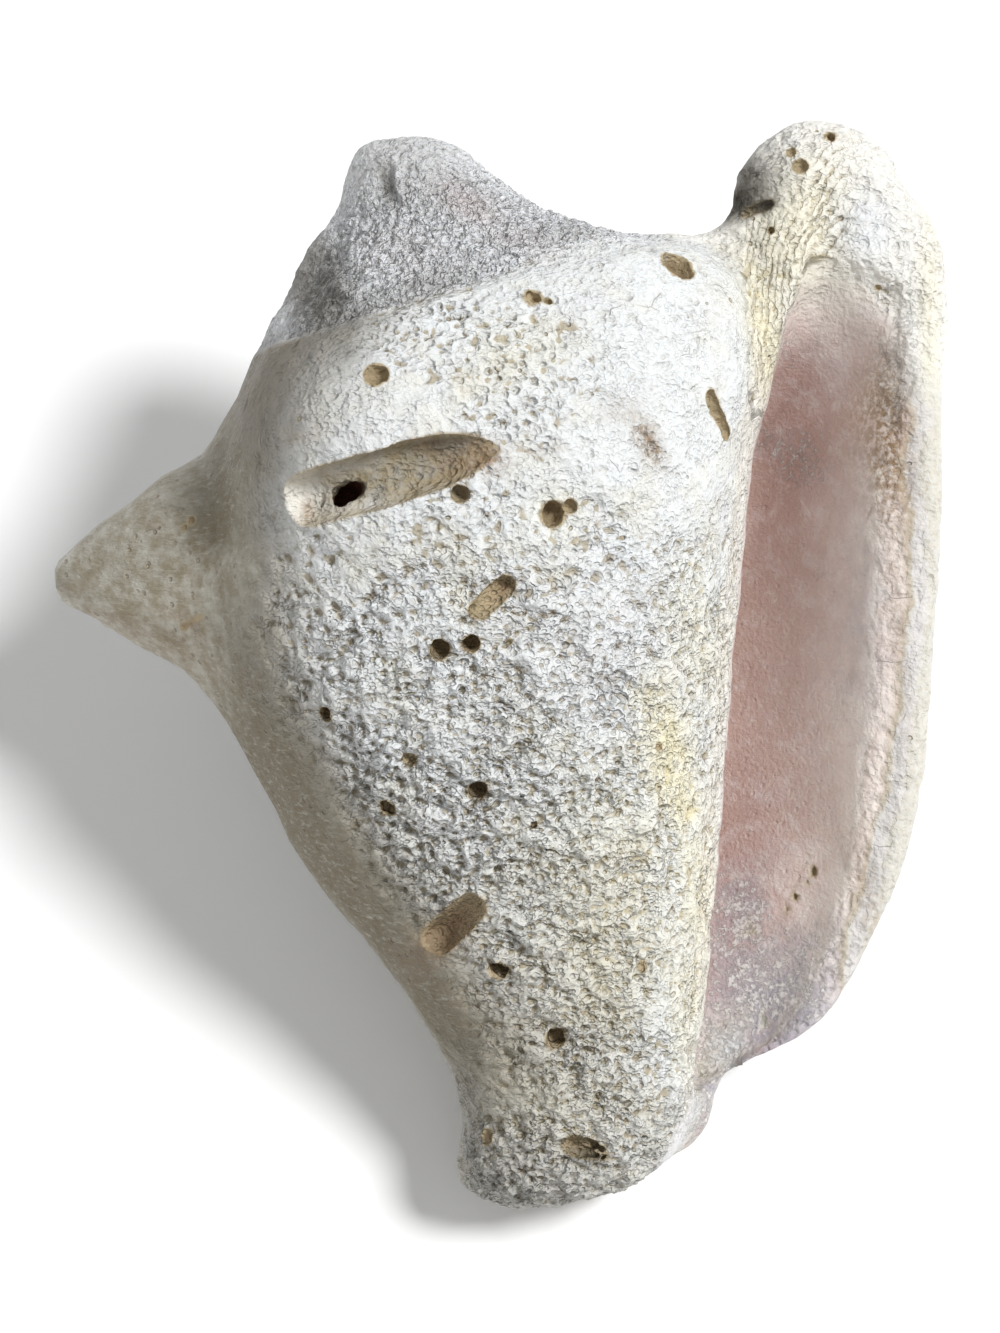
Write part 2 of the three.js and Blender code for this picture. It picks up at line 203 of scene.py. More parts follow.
def oval(x, z, a, b, power):
    """How far a point of a slice is outside an oval that reaches a along x and b along z."""
    short = np.maximum(1 - np.minimum(a, b), 0)
    a = np.maximum(a, 1)
    b = np.maximum(b, 1)
    ratio = ((np.abs(x) / a) ** power + (np.abs(z) / b) ** power) ** (1 / power)
    radius = np.hypot(x, z)
    distance = np.where(ratio > 1e-3, radius - radius / np.maximum(ratio, 1e-3), -np.minimum(a, b))
    return distance + 2 * short


def taper(start, start_radius, end, end_radius, flat):
    """A round cone between two balls, thinner along z than it is wide by flat."""
    start = np.array(start, float) * (1, 1, flat)
    axis = np.array(end, float) * (1, 1, flat) - start
    length = np.linalg.norm(axis)
    narrowing = (start_radius - end_radius) / length
    lead = narrowing / math.sqrt(1 - narrowing**2) / length

    def field(x, y, z):
        dx, dy, dz = x - start[0], y - start[1], z * flat - start[2]
        along = (dx * axis[0] + dy * axis[1] + dz * axis[2]) / length**2
        away = np.sqrt(np.maximum(dx * dx + dy * dy + dz * dz - (along * length) ** 2, 0))
        share = np.clip(along - lead * away, 0, 1)
        radius = start_radius + (end_radius - start_radius) * share
        return np.sqrt(
            (dx - share * axis[0]) ** 2 + (dy - share * axis[1]) ** 2 + (dz - share * axis[2]) ** 2
        ) - radius

    return field


SPINE = taper((-52, 18.2, -1), 20, (-76.8, 16.2, -1), 6.1, 1.1)
FRONT_KNOB = taper((-18.5, 42, 20), 24, (-23, 40.5, 34), 17, 1)
OLD_KNOB = taper((-30, 59, 2), 12, (-38, 60, 2), 6.5, 1)
BACK_KNOBS = (
    taper((-20, 27, -34), 20, (-33, 25, -56.4), 8.5, 1),
    taper((20, 27, -34), 20, (31, 27, -57.4), 8.5, 1),
)
LOBE = taper((58.6, 84.3, 0), 16.5, (60.5, 66, 0), 19, 1.5)


def slice_of(y):
    """The middle, half width and right side of the body's slice at a height."""
    left, right = LEFT(y), RIGHT(y)
    return (left + right) / 2, (right - left) / 2, right


def seam_height(x, z):
    """The height of the seam between the last whorl and the spire."""
    return SUTURE(x) + (56 - SUTURE(x)) * 0.65 * (1 - smooth(z, -12, 6))


def body_field(x, y, z):
    """The body whorl with the spire, its knobs and its spine."""
    middle, half, _ = slice_of(y)
    body = oval(x - middle, z, half, np.where(z > 0, FRONT(y), BACK(y)), BODY_POWER)
    body = meet(body, y - APEX_Y, 3)
    body = meet(body, BASE_Y - y, 5)
    body = join(body, OLD_KNOB(x, y, z), 6)
    body = body + SUTURE_LEDGE * smooth(y - seam_height(x, z), -0.5, 2.5)
    for knob in BACK_KNOBS:
        body = join(body, knob(x, y, z), 14)
    body = join(body, FRONT_KNOB(x, y, z), 14)
    return join(body, SPINE(x, y, z), 9)


def lip_field(x, y, z):
    """The outer lip with its lobe, before the mouth is taken out of it."""
    middle, half, _ = slice_of(y)
    behind = RIM(y) - RIM_SHOULDER
    on_right = x > middle
    width = np.where(on_right, LIP(y) - middle, half)
    power = np.where(on_right, LIP_POWER, BODY_POWER)
    lip = oval(x - middle, np.minimum(z - behind, 0), width, BACK(y) + behind, power)
    lip = meet(lip, z - RIM(y), 5)
    lip = meet(lip, BASE_Y - y, 5)
    lip = meet(lip, y - LIP_TOP_Y - 0.25 * np.maximum(x - 50, 0), 5)
    return join(lip, LOBE(x, y, z), 8)


def mouth_field(x, y, z):
    """The mouth's hollow."""
    middle, half, right = slice_of(y)
    behind = RIM(y) - RIM_SHOULDER
    across = np.maximum(x - middle, 0)
    depth = (BACK(y) + behind - LIP_WALL) * (1 - 0.45 * smooth(y, 40, 68))
    reach = MOUTH(y) - LIP_BEVEL * smooth(y, -80, -55)
    hollow = oval(across, np.minimum(z - behind, 0), reach - middle, depth, LIP_POWER)
    bevel = meet(x - MOUTH(y), RIM(y) - BEVEL_SLOPE * (MOUTH(y) - x) - z, 3)
    hollow = join(hollow, bevel, 8 + 9 * smooth(y, 25, 50))
    columella = oval(x - middle, z, half, np.where(z > 0, FRONT(y), COLUMELLA(y)), BODY_POWER)
    hollow = meet(hollow, -columella, 4)
    hollow = meet(hollow, right - UNDERCUT * (0.3 + 0.7 * smooth(y, -76, -50)) - x, 4)
    hollow = meet(hollow, (y - 52.7) * 0.34 - (x - 49) * 0.94, 5)
    flare = (y - MOUTH_FLARE_Y) * math.cos(MOUTH_FLARE_LEAN) - (z - RIM(y)) * math.sin(MOUTH_FLARE_LEAN)
    hollow = meet(hollow, join(y - MOUTH_TOP_Y, flare, 8), 10)
    return meet(hollow, MOUTH_BASE_Y - y, 8)


def lining_edge(x, y):
    """How far right of the lining's broken edge along the lip a place is, in millimetres."""
    return x - LINING(y)


def valley(x, y, z):
    """The depth of the valley between the spine and the bulge."""
    from_edge = x - BULGE_EDGE(y)
    across = smooth(from_edge, -20, -7) * (1 - smooth(from_edge, -5, 3))
    return 1.8 * across * smooth(y, 12, 26) * (1 - smooth(y, 50, 60)) * smooth(z, 0, 12)


def solid_field(x, y, z):
    """The shell before its mouth is taken out."""
    return join(body_field(x, y, z), lip_field(x, y, z), 5)


def shell_field(x, y, z):
    """Below 0 inside the shell, above 0 outside it and in its mouth; at rest it is worn flat below."""
    fillet = 3 + 10 * smooth(y, 56, 68) * smooth(x, 52, 58)
    field = meet(solid_field(x, y, z), -mouth_field(x, y, z), fillet)
    step = 0.4 * smooth(lining_edge(x, y), -0.5, 0.5) * (x > 60) * (1 - smooth(y, 50, 58))
    step = step + 1.1 * smooth(x - CANAL_EDGE(y), -0.6, 0.6) * (1 - smooth(y, -72, -67)) * (x < 44)
    step = step + valley(x, y, z)
    field = field + step * smooth(-np.abs(field), -3, 0) * smooth(z, -12, -4)
    floor = -(y * LEAN[2, 1] + z * LEAN[2, 2] + REST_HEIGHT) + 0.25
    return meet(field, floor, 0.6)


# The corners, in millimetres, between which the shell's surface is looked for
REACH = ((-92, -104, -76), (92, 106, 66))


def net_of(field, low, high, step):
    """The points and quads of the closed surface where a field is 0."""
    axes = [np.arange(low[k], high[k] + step, step) for k in range(3)]
    counts = [len(axis) for axis in axes]
    values = np.empty(counts, np.float32)
    slab = 16
    for start in range(0, counts[0], slab):
        values[start:start + slab] = field(
            axes[0][start:start + slab, None, None], axes[1][None, :, None], axes[2][None, None, :]
        )
    inside = values < 0
    cells = [count - 1 for count in counts]
    flat = lambda index: (index[:, 0] * cells[1] + index[:, 1]) * cells[2] + index[:, 2]
    size = cells[0] * cells[1] * cells[2]
    total = np.zeros((size, 3))
    number = np.zeros(size)
    crossings = []
    for axis in range(3):
        near = [slice(None)] * 3
        far = [slice(None)] * 3
        near[axis] = slice(0, -1)
        far[axis] = slice(1, None)
        going_out = inside[tuple(near)]
        index = np.argwhere(going_out != inside[tuple(far)])
        first = values[tuple(near)][tuple(index.T)]
        second = values[tuple(far)][tuple(index.T)]
        place = index.astype(float)
        place[:, axis] += first / (first - second)
        ring = []
        for back in ((0, 0), (-1, 0), (-1, -1), (0, -1)):
            cell = index.copy()
            cell[:, (axis + 1) % 3] += back[0]
            cell[:, (axis + 2) % 3] += back[1]
            spot = flat(cell)
            number += np.bincount(spot, minlength=size)
            for k in range(3):
                total[:, k] += np.bincount(spot, weights=place[:, k], minlength=size)
            ring.append(spot)
        ring = np.stack(ring, 1)
        crossings.append(np.where(going_out[tuple(index.T)][:, None], ring, ring[:, ::-1]))
    used = np.flatnonzero(number)
    points = total[used] / number[used][:, None] * step + np.array(low)
    order = np.full(size, -1)
    order[used] = np.arange(len(used))
    return points, order[np.concatenate(crossings)]


def rise(field, x, y, z, reach):
    """How much a field rises along x, y and z over twice the reach."""
    return [
        field(x + reach, y, z) - field(x - reach, y, z),
        field(x, y + reach, z) - field(x, y - reach, z),
        field(x, y, z + reach) - field(x, y, z - reach),
    ]


def draw_onto(field, points, rounds, most):
    """Points moved along the field's slope onto its surface."""
    reach = 0.05
    for _ in range(rounds):
        x, y, z = points.T
        value = field(x, y, z)
        slope = np.stack(rise(field, x, y, z, reach), 1) / (2 * reach)
        move = -slope * (value / np.maximum((slope**2).sum(1), 0.05))[:, None]
        length = np.linalg.norm(move, axis=1, keepdims=True)
        points = points + move * np.minimum(1, most / np.maximum(length, 1e-9))
    return points


def outward(field, point):
    """The direction straight out of the surface at a point."""
    slope = np.array(rise(field, *point, 0.1), float).reshape(3)
    return slope / np.linalg.norm(slope)


def front_point(x, y):
    """The point of the shell that the camera sees at a place of the middle plane."""
    z = np.arange(66, -70, -0.1)
    farness = 1 - z / CAMERA_DISTANCE
    ray = np.stack([x * farness, y * farness, z], 1)
    return ray[np.argmax(shell_field(*ray.T) < 0)]


# Marks on the shell: column, row, half width and half height in photograph pixels, turn in degrees, and strength
MARKS = {
    "comb": (
        (440, 330, 90, 60, -25, 0.9), (520, 380, 70, 80, 0, 1), (560, 300, 60, 40, -15, 0.4),
        (470, 500, 60, 50, 0, 0.8), (560, 520, 60, 40, 0, 0.6), (400, 560, 60, 50, 0, 0.4),
        (430, 800, 60, 60, 0, 0.8), (350, 390, 60, 50, 0, 0.35), (630, 330, 60, 70, 0, 0.25),
    ),
    "yellow": (
        (668, 750, 24, 66, 8, 0.9), (684, 805, 18, 30, 0, 0.8), (652, 700, 20, 18, 0, 0.7), (690, 640, 26, 70, 5, 0.4),
        (790, 235, 40, 70, -25, 0.5), (765, 330, 18, 80, 8, 0.7), (930, 330, 10, 110, 0, 0.4),
        (620, 900, 70, 120, 0, 0.3),
        (694, 880, 18, 90, 2, 0.5), (640, 960, 30, 40, 0, 0.25), (690, 1010, 20, 60, 0, 0.5),
        (555, 515, 26, 26, 0, 0.25), (520, 350, 40, 30, 0, 0.2), (560, 1100, 70, 40, 0, 0.15),
    ),
    # Mostly brown stains; (140, 632) and (150, 640) darken the spine's underside as painted shade, and (432, 446) is a
    # painted shadow under the groove's upper edge.
    "brown_stain_and_shade": (
        (648, 442, 26, 11, 118, 0.8), (470, 462, 30, 14, 14, 0.75), (622, 410, 20, 9, 20, 0.4),
        (308, 513, 4, 12, 10, 1), (545, 450, 26, 4, 8, 0.4),
        (187, 622, 26, 7, -38, 0.5), (803, 873, 2, 42, -27, 0.45), (440, 940, 36, 16, 42, 0.8),
        (502, 590, 16, 8, 42, 0.6), (886, 440, 22, 84, 4, 1.0), (895, 600, 9, 120, 4, 0.4),
        (862, 880, 12, 80, 14, 0.35),
        (140, 632, 70, 12, -22, 0.5), (150, 640, 30, 8, -25, 0.3), (300, 435, 16, 6, 0, 0.4),
        (480, 455, 26, 14, -20, 0.9),
        (432, 446, 20, 10, -20, 0.6),
    ),
    # Partly dark dirt, and partly painted shade where shade falls: on the lobe's left side, the seam below the bulge,
    # the spire's left slope, the bulge's left part, the valley beside it and the spine's upper side.
    "grey_dirt_and_shade": (
        (748, 185, 26, 26, 35, 1.0), (768, 165, 18, 30, 40, 0.6), (735, 212, 20, 12, 20, 0.9),
        (760, 245, 8, 40, 12, 0.3),
        (340, 330, 60, 26, 30, 0.55), (270, 370, 40, 44, 50, 0.6), (420, 285, 60, 14, 20, 0.5),
        (560, 232, 60, 10, 8, 0.3),
        (318, 290, 32, 70, 20, 1.0), (400, 165, 60, 50, 0, 0.5), (335, 400, 60, 50, 0, 0.15),
        (275, 655, 40, 60, 20, 0.35), (345, 325, 50, 14, 25, 0.8), (425, 293, 50, 8, 20, 0.6),
        (190, 470, 80, 36, 40, 0.5), (120, 540, 60, 30, 40, 0.35), (380, 1010, 16, 40, -20, 0.3),
        (480, 1160, 18, 44, 0, 0.35),
        (560, 1195, 60, 16, 0, 0.3), (530, 1168, 50, 26, 0, 0.35), (250, 425, 18, 44, 20, 0.8),
        (470, 1120, 14, 60, 0, 0.5),
    ),
    "bluish": (
        (866, 226, 24, 30, 15, 1), (640, 640, 60, 80, 0, 0.35), (600, 690, 40, 40, 0, 0.3), (735, 1100, 40, 40, 0, 0.4),
        (732, 1042, 36, 40, 0, 1),
    ),
    "rose": (
        (470, 205, 34, 16, -30, 0.9), (520, 240, 40, 14, -20, 0.4), (400, 250, 40, 20, 0, 0.25),
        (893, 360, 14, 50, 8, 0.8), (600, 640, 60, 50, 0, 0.15),
    ),
    "veil": (
        (770, 1010, 70, 60, 30, 1.0), (735, 1050, 40, 40, 0, 1), (700, 1090, 40, 40, 0, 1), (840, 960, 30, 50, 20, 0.5),
        (860, 600, 26, 120, 0, 0.35), (850, 330, 40, 30, 0, 0.5), (745, 930, 20, 60, 0, 0.7),
    ),
    "rough": (
        (888, 325, 16, 60, 4, 0.5), (893, 405, 12, 30, 0, 0.6), (762, 270, 22, 70, 10, 0.4),
        (765, 175, 30, 26, 35, 0.6),
        (740, 205, 22, 16, 35, 1), (648, 442, 26, 11, 118, 0.7), (820, 150, 40, 20, 0, 0.3),
    ),
    "pale": ((300, 503, 22, 34, 0, 1), (345, 512, 50, 10, 14, 0.5), (340, 470, 30, 8, 14, 0.4)),
    # Painted shadow, partly black grime: in the crevice on the lobe's left side, on the spire's left slope and in its
    # dent, under the groove's upper edge and at the ends of two borings.
    "shadow_and_grime": (
        (736, 202, 24, 15, 35, 1), (752, 182, 12, 22, 30, 0.8), (764, 206, 15, 7, 20, 1), (592, 1158, 20, 9, -20, 0.6),
        (442, 447, 26, 7, 12, 0.6), (318, 295, 30, 66, 20, 0.45), (387, 184, 6, 19, 12, 0.7),
        (434, 946, 24, 12, 42, 0.3),
    ),
    "groove": ((375, 482, 125, 34, 14, 1), (285, 505, 24, 34, 0, 1)),
    "crumbs": (
        (777, 440, 16, 26, 0, 1), (800, 462, 22, 14, 0, 0.7), (822, 370, 16, 12, 0, 0.5), (783, 345, 14, 18, 0, 0.6),
        (748, 700, 12, 22, 0, 0.9), (770, 712, 8, 8, 0, 0.7), (745, 925, 20, 40, 0, 1), (770, 985, 50, 44, 20, 0.8),
        (720, 1060, 30, 24, 0, 0.9), (700, 1110, 30, 30, 0, 0.7), (840, 700, 60, 40, 0, 0.25),
        (890, 380, 14, 40, 0, 0.9),
        (905, 330, 20, 30, 0, 0.4), (800, 1010, 40, 20, 20, 0.5), (830, 960, 40, 40, 0, 0.3),
        (850, 560, 50, 60, 0, 0.2),
    ),
}


def mark(name, x, y):
    """How strongly a place of the middle plane carries a kind of mark, from 0 to 1."""
    total = np.zeros(np.broadcast(x, y).shape)
    for column, row, wide, high, turn, strength in MARKS[name]:
        at_x, at_y = from_photo(column, row)
        c, s = math.cos(math.radians(turn)), math.sin(math.radians(turn))
        u = ((x - at_x) * c + (y - at_y) * s) / (wide * PIXEL)
        v = (-(x - at_x) * s + (y - at_y) * c) / (high * PIXEL)
        total = np.maximum(total, strength * np.exp(-0.7 * (u * u + v * v) ** 1.3))
    return total


def zones_of(points):
    """What each point of the surface is covered with, as numbers from 0 to 1 by name, and lengths in millimetres."""
    x, y, z = points.T
    seen_x, seen_y = onto_middle(x, y, z)
    left, right = LEFT(y), RIGHT(y)
    body, lip = body_field(x, y, z), lip_field(x, y, z)
    solid = join(body, lip, 5)
    hollow = mouth_field(x, y, z)
    front = smooth(z, -8, 6)
    on_lip = smooth(body - lip, 0, 5)
    inside = smooth(-solid, 0.6, 3.5) * smooth(-meet(-hollow, hollow + 3, 0.5), -3, 0.5)
    inside = np.maximum(inside, smooth(-solid, 3, 5) * (hollow < 1.5))
    rim = on_lip * smooth(z - RIM(y), -7, -2.5) * (1 - inside)
    behind = 1 - smooth(z, -18, 0)
    fade = 1.6 + 7.5 * smooth(x, -8, 18) * smooth(z, -10, 10) + 7 * behind
    seam = seam_height(x, z) + behind * (1.6 * np.sin(0.33 * x + 0.2 * z) + 1.1 * np.sin(0.5 * z - 0.17 * x))
    spire = smooth((y - seam) / fade, -0.2, 1) * (1 - smooth(x, 38, 46)) * (1 - on_lip)
    from_edge = right - x
    strip = front * (1 - smooth(from_edge, 3.2, 5.5)) * (1 - smooth(y, 60, 72)) * smooth(y, -92, -80)
    strip = strip * (1 - inside) * (1 - on_lip)
    rough = mark("rough", seen_x, seen_y) * front * (1 - inside)
    at_bulge = smooth(y, 12, 30)
    # The left flank, which faces away from the light; the polished colour laid here is partly painted shade.
    shaded_flank = 1 - smooth(x - np.maximum(left, BULGE_EDGE(y) - 6), 4 - 3 * at_bulge, 23 - 14 * at_bulge)
    spine = 1 - smooth(x + 0.25 * np.abs(y - 18), -50, -38)
    polish = np.maximum(shaded_flank * smooth(y, -95, -50), spine) * (1 - spire)
    polish = np.maximum(polish * (0.35 + 0.65 * front), 0.3 * (1 - front))
    canal = smooth(x - CANAL_EDGE(y), -0.3, 0.8) * (1 - smooth(y, -74, -68)) * (x < 46) * front
    chalk = (0.32 + 0.68 * smooth(-y, -36, 10)) * (1 - polish) * (1 - spire) * (1 - inside) * (1 - canal)
    by_columella = smooth(x, 16, 33) * smooth(-y, -12, 0) * smooth(y, -92, -70)
    chalk = chalk * (0.4 + 0.6 * front) * (1 - 0.35 * by_columella)
    on_lobe = on_lip * (1 - inside) * (0.16 + 0.2 * smooth(y, 50, 74)) * front
    chalk = np.maximum(np.where(on_lip > 0, (1 - on_lip) * chalk + on_lobe, chalk), rough)
    chalk = np.maximum(chalk, 0.2 * inside * smooth(seen_y, 58, 70))
    comb = mark("comb", seen_x, seen_y) * front * (1 - spire)
    comb = np.maximum(comb, (1 - front) * 0.5 * (1 - inside))

    # Layers of growth: how far out a point lies from the mouth's edge, and how strongly the layers show there
    arc = np.hypot((seen_x - 67.5) / 0.5, seen_y - 61.8)
    fan = smooth(arc, 15, 20) * (1 - smooth(arc, 35, 39)) * smooth(y, 58, 64) * (1 - 0.85 * smooth(seen_x, 58, 68))
    crease = smooth(x, 43.5, 46) * (1 - smooth(arc, 47, 52)) * smooth(arc, 26, 32) * smooth(y, 42, 52)
    crease = crease * (1 - smooth(y, 78, 84)) * (1 - smooth(x, 56, 60))
    fan = np.maximum(fan, crease) * smooth(z, -12, -2) * (1 - inside)
    rim_layers = 0.2 * rim * (1 - smooth(y, 50, 60))
    place = np.where(fan > 0.3 * strip, arc, np.where(rim_layers > strip, 0.9 * (LIP(y) - x), from_edge))
    layered = np.maximum(np.maximum(fan, 0.35 * strip), rim_layers)
    lining = LINING(seen_y)
    return {
        "inside": inside, "rim": rim, "spire": spire, "strip": strip, "polish": polish, "chalk": chalk,
        "comb": comb, "layered": layered, "layer_place": place, "lip": on_lip, "canal": canal,
        "sugar": spire * (1 - 0.6 * smooth(y - 0.3 * (x + 20), 80, 92)) * (0.4 + 0.6 * smooth(x - left, 0, 8)),
        "lime": (1 - spire) * (1 - inside) * (1 - 0.8 * strip),
        "lined": inside * (1 - smooth(seen_y, 55, 71)), "tinted": inside * (1 - smooth(seen_y, 60, 74)),
        # glow is painted light in the middle of the mouth, standing for light that shines through the thin lip.
        "glow": np.exp(-(((seen_y - 8) / 28) ** 2)) * inside, "rim_lined": rim * (1 - smooth(y, 44, 56)),
        # across grows towards the lip, where the lining is painted paler: partly its own paler colour, partly painted
        # light through the thin lip.
        "across": np.clip((seen_x - right) / np.maximum(lining - right, 5), 0, 1.3)
        * (1 - 0.4 * smooth(seen_y, 30, 52)),
        "lobe": on_lip * (1 - inside * (1 - smooth(seen_y, 58, 70))) * smooth(y, 44, 60) * front,
        # Painted shade on the left side, which faces away from the key light, and in the valley beside the bulge;
        # partly a brownish stain of sand.
        "shaded_flank": np.maximum(
            (1 - smooth(x - left, 4, 29)) * (1 - 0.7 * spine), 0.5 * valley(x, y, z)
        ) * (1 - spire) * front * (0.2 + 0.8 * smooth(y, -88, -62)),
        # The lower front, darker and browner: partly sand ingrained there, partly painted shade for the shadows of its
        # deep relief.
        "low": smooth(-y, 12, 58) * (1 - 0.9 * by_columella) * (1 - polish) * (1 - inside) * (1 - canal)
        * (1 - 0.7 * strip),
        "edge_line": np.clip(lining_edge(x, y), -12, 12),
        "depth": np.maximum(-shell_field(x, y, z), 0),
        # Painted shade deeper in the mouth.
        "deep_in_shade": smooth(RIM(y) - z, 6, 34) * inside,
        **{name: mark(name, seen_x, seen_y) * smooth(z, -30, -10) for name in MARKS if name not in ("comb", "rough")},
    }


def put_zones(mesh, zones):
    """Stores each zone on the mesh's points."""
    for name, values in zones.items():
        attribute = mesh.attributes.get(name) or mesh.attributes.new(name, "FLOAT", "POINT")
        attribute.data.foreach_set("value", np.ascontiguousarray(values, np.float32))


def points_of(mesh):
    """The mesh's points as an array."""
    flat = np.empty(len(mesh.vertices) * 3, np.float32)
    mesh.vertices.foreach_get("co", flat)
    return flat.reshape(-1, 3).astype(float)


def mesh_of(name, points, faces):
    """A mesh with these points, in metres, and faces."""
    mesh = bpy.data.meshes.new(name)
    mesh.from_pydata(points.tolist(), [], faces.tolist() if isinstance(faces, np.ndarray) else faces)
    mesh.validate()
    mesh.update()
    return mesh


def object_of(name, mesh):
    """An object with this mesh, at the origin."""
    thing = bpy.data.objects.new(name, mesh)
    bpy.context.scene.collection.objects.link(thing)
    return thing


def plain_mesh(thing):
    """The object's mesh with its modifiers applied, put in their place."""
    depsgraph = bpy.context.evaluated_depsgraph_get()
    result = bpy.data.meshes.new_from_object(thing.evaluated_get(depsgraph), depsgraph=depsgraph)
    thing.modifiers.clear()
    old = thing.data
    thing.data = result
    bpy.data.meshes.remove(old)


class Board:
    """A node tree, with short ways to put nodes into it."""

    def __init__(self, tree):
        self.tree = tree
        self.count = 0

    def add(self, kind, inputs=None, **settings):
        node = self.tree.nodes.new(kind)
        node.location = (self.count // 8 * 220, -(self.count % 8) * 190)
        self.count += 1
        for name, value in settings.items():
            setattr(node, name, value)
        for name, value in (inputs or {}).items():
            self.feed(node.inputs[name], value)
        return node

    def feed(self, socket, value):
        if isinstance(value, bpy.types.NodeSocket):
            self.tree.links.new(value, socket)
        elif value is not None:
            socket.default_value = value

    def math(self, operation, a, b=None, c=None):
        return self.add("ShaderNodeMath", {0: a, 1: b, 2: c}, operation=operation).outputs[0]

    def times(self, first, *others):
        for other in others:
            first = self.math("MULTIPLY", first, other)
        return first

    def vector(self, operation, a, b=None, scale=None):
        node = self.add("ShaderNodeVectorMath", {0: a, 1: b}, operation=operation)
        if scale is not None:
            self.feed(node.inputs["Scale"], scale)
        return node.outputs["Vector"]

    def step(self, value, low, high, start=0.0, end=1.0):
        return self.add("ShaderNodeMapRange", {
            "Value": value, "From Min": low, "From Max": high, "To Min": start, "To Max": end,
        }, interpolation_type="SMOOTHSTEP").outputs["Result"]

    def noise(self, place, scale, detail=2.0, roughness=0.5, output="Fac"):
        return self.add("ShaderNodeTexNoise", {
            "Vector": place, "Scale": scale, "Detail": detail, "Roughness": roughness,
        }).outputs[output]

    def cells(self, place, scale, feature="F1"):
        return self.add("ShaderNodeTexVoronoi", {"Vector": place, "Scale": scale}, feature=feature)

    def blend(self, share, a, b):
        node = self.add("ShaderNodeMix", {0: share, 2: a, 3: b}, data_type="FLOAT")
        return node.outputs[0]

    def tint(self, share, a, b):
        node = self.add("ShaderNodeMix", {0: share, 6: a, 7: b}, data_type="RGBA")
        return node.outputs[2]

    def attribute(self, name):
        if self.tree.type == "SHADER":
            return self.add("ShaderNodeAttribute", attribute_name=name, attribute_type="GEOMETRY").outputs["Fac"]
        return self.add("GeometryNodeInputNamedAttribute", {"Name": name}, data_type="FLOAT").outputs["Attribute"]

    def use(self, group, inputs):
        kind = "ShaderNodeGroup" if self.tree.type == "SHADER" else "GeometryNodeGroup"
        node = self.add(kind)
        node.node_tree = group
        for name, value in inputs.items():
            self.feed(node.inputs[name], value)
        return node


def new_group(name, kind, inputs, outputs):
    """An empty node group with these sockets, and its board, input node and output node."""
    group = bpy.data.node_groups.new(name, kind)
    for socket, socket_type, default in inputs:
        made = group.interface.new_socket(socket, in_out="INPUT", socket_type=socket_type)
        if default is not None:
            made.default_value = default
    for socket, socket_type in outputs:
        group.interface.new_socket(socket, in_out="OUTPUT", socket_type=socket_type)
    board = Board(group)
    start = board.add("NodeGroupInput")
    end = board.add("NodeGroupOutput")
    end.location = (4000, 0)
    return group, board, start, end


def place_group(kind):
    """Turns a position of the resting shell into its own frame, in millimetres."""
    group, board, start, end = new_group(
        "Own frame", kind, [("Position", "NodeSocketVector", None)], [("Place", "NodeSocketVector")]
    )
    moved = board.vector("SUBTRACT", start.outputs["Position"], tuple(SHIFT / 1000))
    turned = board.add("ShaderNodeVectorRotate", {
        "Vector": moved, "Axis": (1, 0, 0), "Angle": -REST_LEAN,
    }, rotation_type="AXIS_ANGLE").outputs["Vector"]
    board.feed(end.inputs["Place"], board.vector("SCALE", turned, scale=1000))
    return group


